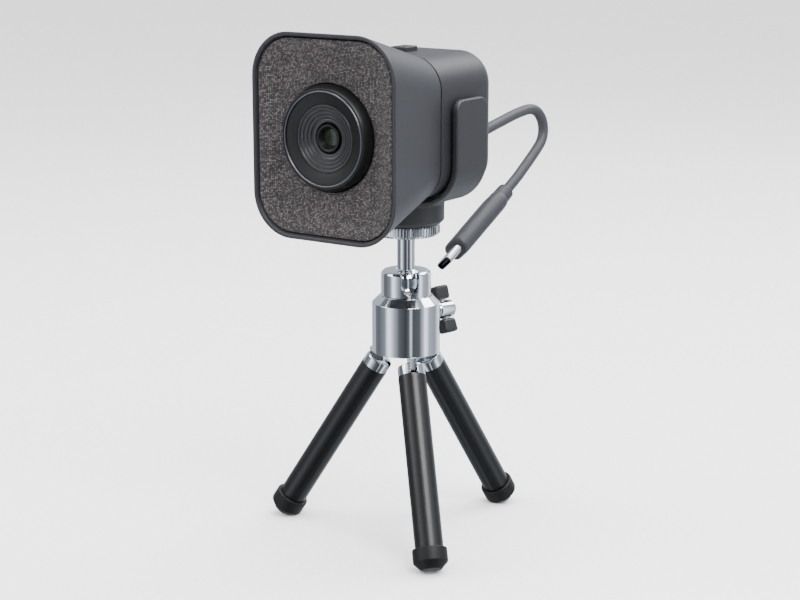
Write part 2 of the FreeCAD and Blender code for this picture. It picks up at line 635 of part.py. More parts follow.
# ---------------------------------------------------------------- optics
def make_lens_front():
    keep(turned("lens_surround", [
        ("size.band_inner", "size.cone_depth"), ("size.rim_ring_inner", 0.5),
        ("size.rim_ring_inner", "size.rim_ring_depth"),
        ("size.rim_ring_outer", "size.rim_ring_depth"), ("size.rim_ring_outer", 0.15),
        ("size.surround_front", 0.15), ("size.surround_base", "size.fabric_floor + 0.3"),
        ("size.surround_base", "5.25"), ("16.8", "5.25"), ("16.8", "6.4"), ("11.6", "6.4"),
        ("11.6", "size.cone_depth + 1.9"), ("size.band_inner", "size.cone_depth + 1.9")], CAMERA))
    keep(turned("lens_rim_ring", [
        ("size.rim_ring_inner + 0.02", 0.2), ("size.rim_ring_inner + 0.15", 0.03),
        ("size.rim_ring_outer - 0.15", 0.03), ("size.rim_ring_outer - 0.02", 0.2),
        ("size.rim_ring_outer - 0.02", "size.rim_ring_depth - 0.02"),
        ("size.rim_ring_inner + 0.02", "size.rim_ring_depth - 0.02")], CAMERA))
    steps = 4
    tread = f"((size.band_inner - size.cone_inner) / {steps})"
    profile = []
    for step in range(steps):
        radius = f"size.band_inner - 0.03 - {step} * {tread}"
        profile.append((radius, f"size.cone_depth + {step} * size.cone_step"))
        profile.append((f"{radius} - {tread} * 0.8",
                        f"size.cone_depth + {step + 0.15} * size.cone_step"))
    profile += [("size.cone_inner", f"size.cone_depth + {steps} * size.cone_step"),
                ("size.cone_inner - 1.0", f"size.cone_depth + {steps} * size.cone_step"),
                ("size.cone_inner - 1.0", "size.yoke_start - 0.6"),
                ("size.band_inner - 0.03", "size.yoke_start - 0.6")]
    keep(turned("lens_baffle", profile, CAMERA))


def lens(label, radius, start, thick, bulge, place=CAMERA):
    """A round glass element with a bulged front face, drawn with three flats."""
    return keep(turned(label, [
        (0, start), (f"({radius}) * 0.45", f"{start} + {bulge} * 0.2"),
        (f"({radius}) * 0.8", f"{start} + {bulge} * 0.64"), (radius, f"{start} + {bulge}"),
        (radius, f"{start} + {thick}"), (0, f"{start} + {thick}")], place))


def make_focus_group():
    """The barrel with its glass, the carrier it screws into and the coil round that."""
    keep(turned("lens_barrel", [
        ("size.glass_radius", "size.glass_depth - 0.15"),
        ("size.barrel_front - 0.75", "size.barrel_start + 0.25"),
        ("size.barrel_front - 0.5", "size.barrel_start"), ("size.barrel_front", "size.barrel_start"),
        ("size.barrel_front", "size.yoke_start - 0.5"), ("size.barrel_body", "size.yoke_start - 0.5"),
        ("size.barrel_body", "size.barrel_end"), (1.9, "size.barrel_end"),
        (1.9, "size.barrel_end - 0.5"), (2.8, "size.barrel_end - 0.5"),
        (2.8, "size.glass_depth + 0.05"), ("size.glass_radius", "size.glass_depth + 0.05")], CAMERA))
    lens("front_lens", "2.72", "size.glass_depth + 0.1", 1.6, 0.45)
    lens("middle_lens", "2.72", "size.glass_depth + 2.0", 1.3, 0.3)
    lens("rear_lens", "2.72", "size.glass_depth + 3.9", 1.6, 0.5)
    keep(turned("lens_carrier", [
        ("size.barrel_body + 0.02", 5.6), ("size.carrier_outer", 5.6), ("size.carrier_outer", 9.6),
        ("size.barrel_body + 0.02", 9.6)], CAMERA))
    keep(turned("focus_coil", [
        ("size.carrier_outer + 0.02", 6.3), ("size.coil_outer", 6.3), ("size.coil_outer", 8.9),
        ("size.carrier_outer + 0.02", 8.9)], CAMERA))


def make_focus_frame():
    """The fixed half of the focus motor, the filter and the image sensor."""
    side = ("size.yoke_side", "size.yoke_side", 1.5)
    yoke = slab("yoke_blank", side, "size.yoke_start", "size.yoke_end")
    bore = rod("yoke_bore", "size.yoke_bore", 12, place=CAMERA)
    keep(cut("focus_yoke", yoke, bore))
    magnets = []
    for number in range(4):
        quarter = Placement(Vector(0, 0, 0), Rotation(Vector(0, 0, 1), 90 * number))
        magnets.append(box(f"magnet_{number}", 1.0, 4.0, 2.6, (6.3, -2, 6.3), quarter))
    keep(grouped("focus_magnets", magnets, CAMERA))
    base = slab("focus_base_blank", side, "size.yoke_end + 0.05", "size.sensor_board_depth - 0.05")
    well = rod("focus_base_well", 4.6, 20, place=CAMERA)
    pocket = slab("focus_base_pocket", (12, 12, 1), "12.9", "size.sensor_board_depth + 1")
    keep(cut("focus_base", base, well, pocket))
    keep(slab("ir_filter", (11.6, 11.6, 0.8), 12.95, 13.25))
    keep(slab("image_sensor", (8.6, 8.0, 0.3), 13.45, "size.sensor_board_depth - 0.02"))
    


def board(label, outline, start, places):
    """A circuit board with a clearance hole at each of the places."""
    blank = slab(label + "_blank", outline, start, f"{start} + size.board_thick")
    holes = [rod(f"{label}_hole_{number}", "size.board_screw + 0.1", 4, (x, y, f"{start} - 1"),
                 place=CAMERA) for number, (x, y) in enumerate(places)]
    return keep(cut(label, blank, *holes))


def make_inside():
    """The two circuit boards and what is fixed to them, and the microphones."""
    rise = "-size.back_rise"
    front, sensor = "size.main_board_depth", "size.sensor_board_depth"
    behind = f"({front} + size.board_thick)"
    board("sensor_board", (30, 34, 2), sensor, sensor_corners())
    board("main_board", (31, 31, 3, rise), front, corners("size.board_screw_at"))
    keep(slab("processor_chip", (11, 11, 0.6, rise), f"{behind} + 0.02", f"{behind} + 1.3"))
    keep(slab("heat_spreader", (20, 20, 3, rise), f"{behind} + 1.35", f"{behind} + 2.6"))
    keep(slab("board_ribbon", (8, 0.4, 0.19, 9.0), f"{sensor} + size.board_thick + 0.05",
              f"{front} - 0.05"))
    screws("main_board_screws", corners("size.board_screw_at"), front, 5, "size.board_screw", 1.5)
    capsules = [rod(f"microphone_{side}", 2.0, 1.6, (f"{side} * 18.4", -20, 5.45))
                for side in (-1, 1)]
    keep(grouped("microphones", capsules, CAMERA))
    heads = []
    for number, (x, y) in enumerate(sensor_corners()):
        head = rod(f"sensor_screw_head_{number}", 1.5, 1.2,
                   (x, y, f"{sensor} + size.board_thick + 0.02"))
        shank = rod(f"sensor_screw_shank_{number}", "size.board_screw", 5,
                    (x, y, f"{sensor} + size.board_thick - 4.8"))
        heads.append(joined(f"sensor_screw_{number}", head, shank))
    keep(grouped("sensor_board_screws", heads, CAMERA))


# ---------------------------------------------------------------- cradle
def make_cradle():
    """A U round the back of the housing: two arms, a web below and the boss under that."""
    wide, low = "2 * size.arm_outer", "size.web_bottom"
    tall = "(60)"
    centre = f"({low} + {tall} / 2)"
    place = Placement(Vector(0, 0, 0), Rotation(Vector(1, 0, 0), 90))
    outer = slab("cradle_outer", (wide, tall, "size.cradle_round", centre),
                 "-size.arm_width / 2", "size.arm_width / 2", place)
    thick, floor = "size.arm_thick", "size.web_thick"
    inner = slab("cradle_inner", (f"{wide} - 2 * {thick}", f"{tall} - 2 * {floor}",
                                  f"size.cradle_round - {thick}", centre),
                 "-size.arm_width / 2 - 1", "size.arm_width / 2 + 1", place)
    # seen from the side, an arm ends in a rounded top
    side_place = Placement(Vector(0, 0, 0), Rotation(Vector(1, 1, 1), 120))
    reach = "(size.arm_top - size.web_bottom + 20)"
    outline = slab("cradle_side", ("size.arm_width", reach, "size.arm_round",
                                   f"size.arm_top - {reach} / 2"),
                   "-size.arm_outer - 1", "size.arm_outer + 1", side_place)
    tray = cut("cradle_tray", outer, inner)
    arms = doc.addObject("Part::Common", "cradle_arms")
    arms.Base, arms.Tool = tray, outline
    boss = turned("cradle_boss", [
        (0, "size.boss_bottom"), ("size.boss_radius - size.boss_chamfer", "size.boss_bottom"),
        ("size.boss_radius", "size.boss_bottom + size.boss_chamfer"),
        ("size.boss_radius", "size.web_bottom + 0.4"), (0, "size.web_bottom + 0.4")])
    well = rod("insert_hole", "size.insert_radius + 0.01",
               "size.insert_top - size.boss_bottom + 1", (0, 0, "size.boss_bottom - 1"))
    middle = "size.camera_z + size.back_rise"
    side_reach = "(size.back_side / 2 + size.lug_rise + 0.15)"
    pockets = [centred_box(f"lug_pocket_{side}", 2, "size.lug_length + 0.5", "size.lug_width + 0.5",
                           (f"{side} * ({side_reach} - 1)", "size.lug_y", middle))
               for side in (-1, 1)]
    keep(cut("cradle", joined("cradle_joined", arms, boss), well, *pockets))
    bore = "size.stud_radius + size.thread_gap"
    return keep(turned("threaded_insert", [
        (0, "size.insert_top - 0.03"), (0, "size.stud_end + 0.2"), (bore, "size.stud_end + 0.2"),
        (bore, "size.boss_bottom"), ("size.insert_radius", "size.boss_bottom"),
        ("size.insert_radius", "size.insert_top - 0.03")]))


# ---------------------------------------------------------------- cable and plug
def rounded_path(points):
    """Straight runs joined by tangent arcs, each as large as its two runs allow."""
    corners = [Vector(*p) for p in points]
    edges, radii, last = [], [], corners[0]
    for before, here, after in zip(corners, corners[1:], corners[2:]):
        back, ahead = before - here, after - here
        inner = back.getAngle(ahead)
        half_turn = (math.pi - inner) / 2
        trim = 0.45 * min(back.Length, ahead.Length)
        radius = trim / math.tan(half_turn)
        radii.append(radius)
        start = here + back.normalize() * trim
        end = here + ahead.normalize() * trim
        middle_way = (back + ahead).normalize()
        centre = here + middle_way * (radius / math.sin(inner / 2))
        edges.append(Part.makeLine(last, start))
        edges.append(Part.Arc(start, centre - middle_way * radius, end).toShape())
        last = end
    edges.append(Part.makeLine(last, corners[-1]))
    return Part.Wire(edges), radii


def make_cable():
    path, radii = rounded_path(CABLE_ROUTE)
    first, second = Vector(*CABLE_ROUTE[0]), Vector(*CABLE_ROUTE[1])
    section = Part.Wire([Part.makeCircle(value("size.cable_radius"), first, second - first)])
    cable = doc.addObject("Part::Feature", "cable")
    cable.Shape = path.makePipeShell([section], True, False)
    ideal = math.pi * value("size.cable_radius") ** 2 * path.Length
    print("cable bend radii", [round(r, 1) for r in radii], "length", round(path.Length, 1),
          "volume over ideal", round(cable.Shape.Volume / ideal, 4))
    return keep(cable)


def make_gland():
    """A short strain relief that is held in the back wall by an inner flange."""
    mouth = Vector(*CABLE_ROUTE[0])
    length = mouth.y - value("size.face_y + size.back_depth")
    inner = -length - 3.0
    place = Placement(mouth, Rotation(Vector(1, 0, 0), -90))
    return keep(turned("cable_gland", [
        (0, inner), ("size.gland_base + 0.4", inner), ("size.gland_base + 0.4", inner + 1.0),
        ("size.gland_tip - 0.05", inner + 1.0), ("size.gland_tip - 0.05", 0.2 - length),
        ("size.gland_base", 0.2 - length), ("size.gland_tip", -0.02), (0, -0.02)], place))


def make_plug():
    """A USB-C plug in line with the cable's last run: collar, overmould, shell and contacts."""
    end = Vector(*CABLE_ROUTE[-1])
    place = from_axes(end, Vector(1, 0, 0), end - Vector(*CABLE_ROUTE[-2]))
    place = place.multiply(Placement(Vector(0, 0, 0), Rotation(Vector(0, 0, 1), PLUG_ROLL)))
    keep(turned("plug_collar", [
        (0, 0.02), ("size.collar_tip", 0.02), ("size.collar_base", "size.collar_length"),
        (0, "size.collar_length")], place))
    mould_end = "(size.collar_length + size.mould_length)"
    block = slab("mould_blank", ("size.mould_wide", "size.mould_thick", "size.mould_corner"),
                 "size.collar_length + 0.02", mould_end, place)
    keep(rounded_edges("plug_overmould", block, 0.8, lambda edge: edge.Length < 9
                       and edge.Curve.TypeId == "Part::GeomCircle" or edge.Length < 6))
    outline = ("size.shell_wide", "size.shell_thick", "size.shell_thick / 2 - 0.02")
    shell = slab("shell_blank", outline, f"{mould_end} + 0.02", f"{mould_end} + size.shell_length",
                 place)
    mouth = slab("shell_mouth", inset(outline, "size.shell_wall"), f"{mould_end} + 0.8",
                 f"{mould_end} + size.shell_length + 1", place)
    keep(cut("plug_shell", shell, mouth))
    keep(slab("plug_contacts", (6.2, 0.7, 0.2), f"{mould_end} + 0.82",
              f"{mould_end} + size.shell_length - 0.7", place))


# ---------------------------------------------------------------- the whole object
make_hub()
make_socket()
make_spider()
make_hub_screw()
make_ball_seat()
make_wedge_pin()
make_thumb_screw()
make_ball_stem()
make_lock_disc()
for leg_number, leg_angle in LEG_ANGLES.items():
    make_leg(leg_number, leg_angle)
make_front_housing()
make_rear_housing()
screws("housing_screws", corners("size.case_screw_at"), "size.ledge_depth", 9, "size.case_screw",
       1.9)
make_front_panel()
make_lens_front()
make_focus_group()
make_focus_frame()
make_inside()
make_cradle()
make_cable()
make_gland()
make_plug()
doc.recompute()

faulty = [o.Label for o in doc.Objects if "Invalid" in o.State or "Error" in o.State]
if faulty:
    raise RuntimeError(f"objects that failed: {faulty}")
os.makedirs("parts", exist_ok=True)
for node in nodes:
    shape = node.Shape
    if shape.isNull() or not shape.isValid() or not shape.Solids:
        raise RuntimeError(f"{node.Label} has no valid solid")
    shape.exportStep(f"parts/{node.Label}.step")
print(len(nodes), "nodes")
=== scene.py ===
# %% [markdown]
# # A webcam on a folding mini tripod
# The webcam has a tapering front housing with a fabric face, a square back held in a U-shaped
# cradle, and a short cable with a plug. The tripod is a chromed hub with a ball head and three
# folding legs. The imported model gives every place and every moving body; this script adds the
# looks. It loads the frame first.

# %% Load the frame
import math

import bmesh
import bpy
from mathutils import Matrix, Vector


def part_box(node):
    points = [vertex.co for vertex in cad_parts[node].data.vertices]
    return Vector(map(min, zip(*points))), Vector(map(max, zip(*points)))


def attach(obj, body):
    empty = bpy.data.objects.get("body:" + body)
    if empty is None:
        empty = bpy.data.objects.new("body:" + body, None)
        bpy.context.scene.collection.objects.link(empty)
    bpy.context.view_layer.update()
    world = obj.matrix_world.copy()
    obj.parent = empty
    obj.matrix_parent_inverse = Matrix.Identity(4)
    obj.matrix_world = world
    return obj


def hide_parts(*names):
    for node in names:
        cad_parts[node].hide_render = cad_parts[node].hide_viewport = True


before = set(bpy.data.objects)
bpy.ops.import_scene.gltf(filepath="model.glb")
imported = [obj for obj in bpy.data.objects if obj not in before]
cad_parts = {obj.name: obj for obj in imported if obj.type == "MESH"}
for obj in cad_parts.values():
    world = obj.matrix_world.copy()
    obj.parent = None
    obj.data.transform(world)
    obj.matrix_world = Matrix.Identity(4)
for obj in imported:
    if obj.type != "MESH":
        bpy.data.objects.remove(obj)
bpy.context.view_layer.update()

# %% [markdown]
# ## Units, places and directions
# Pieces are drawn in millimetres, because that is how small products are measured, and scaled to
# metres when they are finished. Many main sizes are read from the frame's own boxes. A depth is
# measured backward from the face of the webcam, so a turned lens part can be drawn on its own
# axis and then laid along the webcam's.

# %% Places read from the frame
MM = 0.001


def box_mm(node):
    """A node's lowest and highest corner, in millimetres."""
    low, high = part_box(node)
    return Vector(low) / MM, Vector(high) / MM


def radius_mm(node):
    """Half the width of a node that is turned about an upright axis."""
    low, high = box_mm(node)
    return (high.x - low.x) / 2


front_low, front_high = box_mm("front_housing")
rear_low, rear_high = box_mm("rear_housing")
FACE_Y = front_low.y
SEAM = front_high.y - front_low.y
FACE_CORNER, BACK_CORNER = 12.85, 9.5
FACE_SIZE = Vector((front_high.x - front_low.x, front_high.z - front_low.z, FACE_CORNER))
FACE_MIDDLE = (front_high.z + front_low.z) / 2
LUG_RISE = 1.0
BACK_SIDE = rear_high.x - rear_low.x - 2 * LUG_RISE
BACK_SIZE = Vector((BACK_SIDE, BACK_SIDE, BACK_CORNER))
BACK_RISE = (rear_high.z + rear_low.z) / 2 - FACE_MIDDLE
BACK_DEPTH = rear_high.y - FACE_Y
LENS_AXIS = Matrix.Translation((0, FACE_Y, FACE_MIDDLE)) @ Matrix.Rotation(-math.pi / 2, 4, "X")
LEG_ANGLES = {1: 195.0, 2: 315.0, 3: 75.0}
SLOT_ANGLE, THUMB_ANGLE = LEG_ANGLES[2], LEG_ANGLES[3]
print("face", tuple(round(n, 1) for n in FACE_SIZE), "seam depth", round(SEAM, 1))

# %% [markdown]
# ## Helpers for shapes
# Three ways of making a shape cover the whole object. A turned part is an outline spun round an
# axis, as on a lathe. A housing is a loft: rounded rectangles, one behind another, joined by
# bridges of faces. A block is a cube whose edges are bevelled. Real edges are never perfectly
# sharp, so each shape ends with a small bevel, which is what catches the light.

# %% Shape helpers
def soften(bm, width, steps=3, angle=28.0, among=None):
    """Rounds every edge that turns by more than an angle, in degrees."""
    bmesh.ops.recalc_face_normals(bm, faces=bm.faces)
    limit = math.radians(angle)
    sharp = [e for e in (among or bm.edges)
             if len(e.link_faces) == 2 and e.calc_face_angle(0.0) > limit]
    if sharp:
        bmesh.ops.bevel(bm, geom=sharp, offset=width, offset_type="OFFSET", affect="EDGES",
                        segments=steps, profile=0.5, material=-1, clamp_overlap=True)


def turned(outline, place=Matrix(), rounding=0.15, steps=96, ring=False):
    """Spins (radius, height) corners round Z; ring closes the outline of a part with a bore."""
    bm = bmesh.new()
    verts = [bm.verts.new((radius, 0, height)) for radius, height in outline]
    edges = [bm.edges.new(pair) for pair in zip(verts, verts[1:])]
    if ring:
        edges.append(bm.edges.new((verts[-1], verts[0])))
    bmesh.ops.spin(bm, geom=verts + edges, cent=(0, 0, 0), axis=(0, 0, 1), angle=math.tau,
                   steps=steps, use_merge=True, use_duplicate=False)
    bmesh.ops.remove_doubles(bm, verts=bm.verts, dist=1e-4)
    if rounding:
        soften(bm, rounding)
    bmesh.ops.transform(bm, matrix=place, verts=bm.verts)
    return bm


def rounded_loop(bm, size, middle, steps=16):
    """The edges of a rounded rectangle that stands across Y; size is width, height, corner."""
    before = set(bm.edges)
    made = bmesh.ops.create_grid(bm, x_segments=1, y_segments=1, size=0.5)
    stand = Matrix.Rotation(math.pi / 2, 4, "X") @ Matrix.Diagonal((size[0], size[1], 1, 1))
    bmesh.ops.transform(bm, matrix=Matrix.Translation(middle) @ stand, verts=made["verts"])
    round_corners(bm, made["verts"], size[2], steps)
    loop = [e for e in bm.edges if e not in before]
    faces = {f for e in loop for f in e.link_faces}
    bmesh.ops.delete(bm, geom=list(faces), context="FACES_ONLY")
    return loop


def loft(bm, loops, closed=False):
    """Joins loops of edges with faces, and the last to the first if it is a closed ring."""
    for near, far in zip(loops, loops[1:] + (loops[:1] if closed else [])):
        bmesh.ops.bridge_loops(bm, edges=near + far)


def cap(bm, loop):
    """Closes an open loop of edges with one face."""
    bmesh.ops.edgeloop_fill(bm, edges=loop)


def round_corners(bm, corners, radius, steps):
    """Turns corners of a flat outline into arcs."""
    bmesh.ops.bevel(bm, geom=corners, offset=radius, offset_type="OFFSET", affect="VERTICES",
                    segments=steps, profile=0.5, material=-1, clamp_overlap=False)


def pull(bm, thick):
    """Makes a flat outline that stands across Y into a plate, by pulling it along Y."""
    pulled = bmesh.ops.extrude_face_region(bm, geom=list(bm.faces))
    bmesh.ops.translate(bm, vec=(0, thick, 0),
                        verts=[v for v in pulled["geom"] if isinstance(v, bmesh.types.BMVert)])
    bmesh.ops.recalc_face_normals(bm, faces=bm.faces)


def block(size, middle=(0, 0, 0), rounding=0.3, place=Matrix(), steps=3):
    """A box with softened edges."""
    bm = bmesh.new()
    bmesh.ops.create_cube(bm, size=1.0)
    bmesh.ops.scale(bm, vec=size, verts=bm.verts)
    bmesh.ops.translate(bm, vec=middle, verts=bm.verts)
    if rounding:
        soften(bm, rounding, steps)
    bmesh.ops.transform(bm, matrix=place, verts=bm.verts)
    return bm


def tab(radius, top, thick, rounding=0.0):
    """An upright plate across Y, with a straight top and a round lower end about the origin."""
    bm = bmesh.new()
    outline = [bm.verts.new((x, -thick / 2, z)) for x, z in
               ((-radius, top), (-radius, -radius), (radius, -radius), (radius, top))]
    bm.faces.new(outline)
    round_corners(bm, outline[1:3], radius * 0.98, 12)
    pull(bm, thick)
    if rounding:
        soften(bm, rounding, 2, 50.0)
    return bm


def together(*shapes):
    """Puts several shapes in one mesh, as separate shells."""
    first, *others = shapes
    for other in others:
        scratch = bpy.data.meshes.new("scratch")
        other.to_mesh(scratch)
        first.from_mesh(scratch)
        bpy.data.meshes.remove(scratch)
        other.free()
    return first


def carve(shape, cutter, rounding=0.0):
    """Takes the cutter's volume out of a shape, and softens the edges that the cut leaves."""
    objects = []
    for name, bm in (("carved", shape), ("cutter", cutter)):
        bmesh.ops.recalc_face_normals(bm, faces=bm.faces)
        mesh = bpy.data.meshes.new(name)
        bm.to_mesh(mesh)
        bm.free()
        objects.append(bpy.data.objects.new(name, mesh))
        bpy.context.collection.objects.link(objects[-1])
    body, tool = objects
    boolean = body.modifiers.new("cut", "BOOLEAN")
    boolean.operation, boolean.solver, boolean.object = "DIFFERENCE", "EXACT", tool
    if rounding:
        bevel = body.modifiers.new("edge", "BEVEL")
        bevel.width, bevel.segments, bevel.limit_method = rounding, 3, "ANGLE"
        bevel.angle_limit = math.radians(35)
    result = bmesh.new()
    result.from_object(body, bpy.context.evaluated_depsgraph_get())
    for thing in objects:
        mesh = thing.data
        bpy.data.objects.remove(thing)
        bpy.data.meshes.remove(mesh)
    return result


def radial(angle, reach=0.0, height=0.0):
    """The point at an angle about the tripod's centre line."""
    turn = math.radians(angle)
    return Vector((reach * math.cos(turn), reach * math.sin(turn), height))


def frame_along(base, z_axis, x_axis):
    """The placement whose Z runs along one direction and whose X lies near another."""
    z = z_axis.normalized()
    y = z.cross(x_axis).normalized()
    turn = Matrix((y.cross(z), y, z)).transposed().to_4x4()
    return Matrix.Translation(base) @ turn


# %% [markdown]
# ## Helpers for materials
# A finish is a small network of nodes. Written out call by call it would hide the idea, so one
# class wraps a node's output and takes part in ordinary arithmetic: each operator adds the Math
# node that it stands for. Every other node comes from one method. The finishes read Object
# coordinates in metres, so a grain of a tenth of a millimetre needs a scale near 10000.

# %% The node wrapper
class Wire:
    """A node's output that can be used in expressions."""

    def __init__(self, socket):
        self.socket = socket
        self.tree = socket.id_data

    @classmethod
    def node(cls, tree, kind, settings=None, inputs=None, out=0):
        """Adds a node: its settings first, then the values or links of its sockets."""
        made = tree.nodes.new(kind)
        for key, setting in (settings or {}).items():
            if key == "stops":
                ramp = made.color_ramp
                while len(ramp.elements) < len(setting):
                    ramp.elements.new(0.5)
                for element, (place, tone) in zip(ramp.elements, setting):
                    element.position = place
                    element.color = (*tone, 1.0) if hasattr(tone, "__len__") else (tone,) * 3 + (1,)
            else:
                setattr(made, key, setting)
        for key, given in (inputs or {}).items():
            if isinstance(given, Wire):
                tree.links.new(given.socket, made.inputs[key])
            else:
                made.inputs[key].default_value = given
        return cls(made.outputs[out]) if made.outputs else None

    def math(self, operation, *others, clamp=False):
        sockets = dict(enumerate((self, *others)))
        return Wire.node(self.tree, "ShaderNodeMath",
                         {"operation": operation, "use_clamp": clamp}, sockets)

    def __add__(self, other):
        return self.math("ADD", other)

    __radd__ = __add__

    def __mul__(self, other):
        return self.math("MULTIPLY", other)

    __rmul__ = __mul__

    def __sub__(self, other):
        return self.math("SUBTRACT", other)

    def __rsub__(self, other):
        return (self * -1.0).math("ADD", other)

    def __truediv__(self, other):
        return self.math("DIVIDE", other)

    def ramp(self, *stops):
        """Maps a value through a colour ramp of (place, grey or colour) stops."""
        return Wire.node(self.tree, "ShaderNodeValToRGB", {"stops": stops}, {"Fac": self})


def mix(amount, first, second):
    """Mixes two colours by a value."""
    sockets = {0: amount, 6: first, 7: second}
    return Wire.node(amount.tree, "ShaderNodeMix", {"data_type": "RGBA"}, sockets, out=2)


def rgb(red, green, blue):
    return (red, green, blue, 1.0)


class Finish:
    """A material in the making, with the textures that most finishes share."""

    def __init__(self, name):
        self.material = bpy.data.materials.new(name)
        self.material.use_nodes = True
        self.tree = self.material.node_tree
        self.tree.nodes.clear()
        self.place = self.node("ShaderNodeTexCoord", out="Object")

    def node(self, kind, settings=None, inputs=None, out=0):
        return Wire.node(self.tree, kind, settings, inputs, out)

    def noise(self, scale, detail=4.0, rough=0.55, stretch=None):
        """Cloudy noise from 0 to 1; stretch scales the coordinates first, one way at a time."""
        place = self.place
        if stretch:
            place = self.node("ShaderNodeMapping", None, {"Vector": place, "Scale": stretch})
        sockets = {"Vector": place, "Scale": scale, "Detail": detail, "Roughness": rough}
        return self.node("ShaderNodeTexNoise", None, sockets)

    def axes(self):
        """The three coordinates as separate values, in metres."""
        apart = self.node("ShaderNodeSeparateXYZ", None, {"Vector": self.place}).socket.node
        return tuple(Wire(output) for output in apart.outputs)

    def finish(self, colour, roughness, height=None, depth=1e-5, **fixed):
        """Joins the values to the shader. depth is the height's full swing, in metres."""
        sockets = {"Base Color": colour, "Roughness": roughness, **fixed}
        if height is not None:
            sockets["Normal"] = self.node("ShaderNodeBump", None,
                                          {"Height": height, "Distance": depth, "Strength": 1.0})
        shader = self.node("ShaderNodeBsdfPrincipled", None, sockets)
        self.node("ShaderNodeOutputMaterial", None, {"Surface": shader})
        return self.material


# %% [markdown]
# ## The finishes
# Moulded plastic is never one flat colour: the tool leaves a fine grain, gloss wanders a little,
# and hands polish some places. One function makes that family, with the grain's size and depth
# as its arguments. Metals need a second function, because their colour is in the reflection and
# their marks run one way. Fabric, printed boards and wound wire each have a pattern of their own.

# %% Moulded and painted surfaces
def moulded(name, colour, roughness, grain=9000.0, depth=1.2e-5, spread=0.12, **fixed):
    """Plastic, paint or rubber: cloudy colour, uneven gloss and a fine grain."""
    f = Finish(name)
    cloud = f.noise(60.0, 5.0)
    fine = f.noise(grain, 3.0, 0.6)
    dark = rgb(*(c * (1 - spread) for c in colour))
    light = rgb(*(c * (1 + spread) for c in colour))
    tone = mix(cloud * 0.6 + fine * 0.4, dark, light)
    gloss = roughness - 0.05 + cloud * 0.07 + fine * 0.05
    return f.finish(tone, gloss, fine, depth, **fixed)


def metal(name, colour, roughness, stretch=(1, 1, 1), marks=2500.0, depth=2e-6, tint=0.08):
    """Bare or plated metal: smudged gloss and fine marks that run along the stretched axis."""
    f = Finish(name)
    smudge = f.noise(90.0, 6.0, 0.6)
    lines = f.noise(marks, 2.0, 0.5, stretch)
    dark = rgb(*(c * (1 - tint) for c in colour))
    tone = mix(smudge, dark, rgb(*colour))
    gloss = smudge * 0.05 + lines * 0.04 + (roughness - 0.045)
    return f.finish(tone, gloss, lines, depth, Metallic=1.0)


# %% [markdown]
# The face is covered with a melange fabric: dark yarns with paler fibres spun in, so that light
# flecks appear wherever such a fibre comes to the top. The cloth's weave is worked out from the
# two coordinates across the face. Whole numbers of threads give each crossing its own random
# tone, the sine of the remainder makes each thread round, and a checker decides which thread is
# on top. Relief comes from the same values, and the colour is painted darker where the weave is
# low, so light and colour agree: that is painted shade in the hollows between threads.

# %% The fabric
def melange(name, pitch=0.0005):
    f = Finish(name)
    x, _, z = f.axes()
    wander = f.noise(260.0, 2.0) * 0.5
    across, along = x / pitch + wander, z / (pitch * 0.8) + wander
    column, row = across.math("FLOOR"), along.math("FLOOR")
    cell = f.node("ShaderNodeCombineXYZ", None, {"X": column, "Y": row, "Z": 3.0})
    chance = f.node("ShaderNodeTexWhiteNoise", {"noise_dimensions": "3D"}, {"Vector": cell})
    over = (column + row).math("PINGPONG", 1.0)
    warp = (across.math("FRACT") * math.pi).math("SINE")
    weft = (along.math("FRACT") * math.pi).math("SINE")
    height = over * warp * (0.45 + weft * 0.55) + (1 - over) * weft * (0.45 + warp * 0.55)
    fibre = f.noise(5200.0, 3.0, 0.7, (1.0, 1.0, 0.45))
    fleck = chance.ramp((0.0, 0.06), (0.40, 0.22), (0.75, 0.55), (1.0, 1.0))
    # The flecks and the dark yarn both follow the weave's height. Pale fibres show on the thread
    # tops, and the colour is darker in the hollows between threads, which is painted shade.
    pale = fleck * height * fibre.ramp((0.36, 0.45), (0.62, 1.0))
    base = mix(height, rgb(0.0008, 0.0007, 0.0008), rgb(0.011, 0.0092, 0.0098))
    colour = mix(pale, base, rgb(0.17, 0.146, 0.149))
    relief = height * 0.8 + fibre * 0.35
    return f.finish(colour, 0.92 - height * 0.08, relief, 1.6e-4, **{"Sheen Weight": 0.03,
                    "Sheen Roughness": 0.5})


# %% [markdown]
# Inside the housing are printed boards, a coil, chips and screws. They show only when the shell
# is off, but they carry real finishes too: a board has copper tracks under its green mask, and a
# coil shows its turns.

# %% Boards, wire and glass
def solder_mask(name):
    """A green board: straight tracks, slightly raised, with a scatter of small vias."""
    f = Finish(name)
    x, _, z = f.axes()
    bend = f.noise(140.0, 0.0).math("GREATER_THAN", 0.5)
    lane = (bend * x + (1 - bend) * z) / 0.0009
    track = lane.math("FRACT").math("GREATER_THAN", 0.62)
    vias = f.node("ShaderNodeTexVoronoi", None, {"Vector": f.place, "Scale": 420.0})
    via = vias.math("LESS_THAN", 0.16)
    mask = mix(track, rgb(0.008, 0.055, 0.030), rgb(0.020, 0.120, 0.060))
    colour = mix(via, mask, rgb(0.55, 0.43, 0.16))
    return f.finish(colour, 0.38 - via * 0.12, track * 0.7 + via * 0.3, 3e-5)


def wound_wire(name):
    """Enamelled copper wire wound round the lens axis."""
    f = Finish(name)
    _, y, _ = f.axes()
    turns = (y * (math.tau / 0.00012)).math("SINE")
    shade = f.noise(700.0)
    colour = mix(shade, rgb(0.50, 0.20, 0.08), rgb(0.82, 0.42, 0.20))
    return f.finish(colour, 0.24 + shade * 0.12, turns, 3e-5, Metallic=0.9)


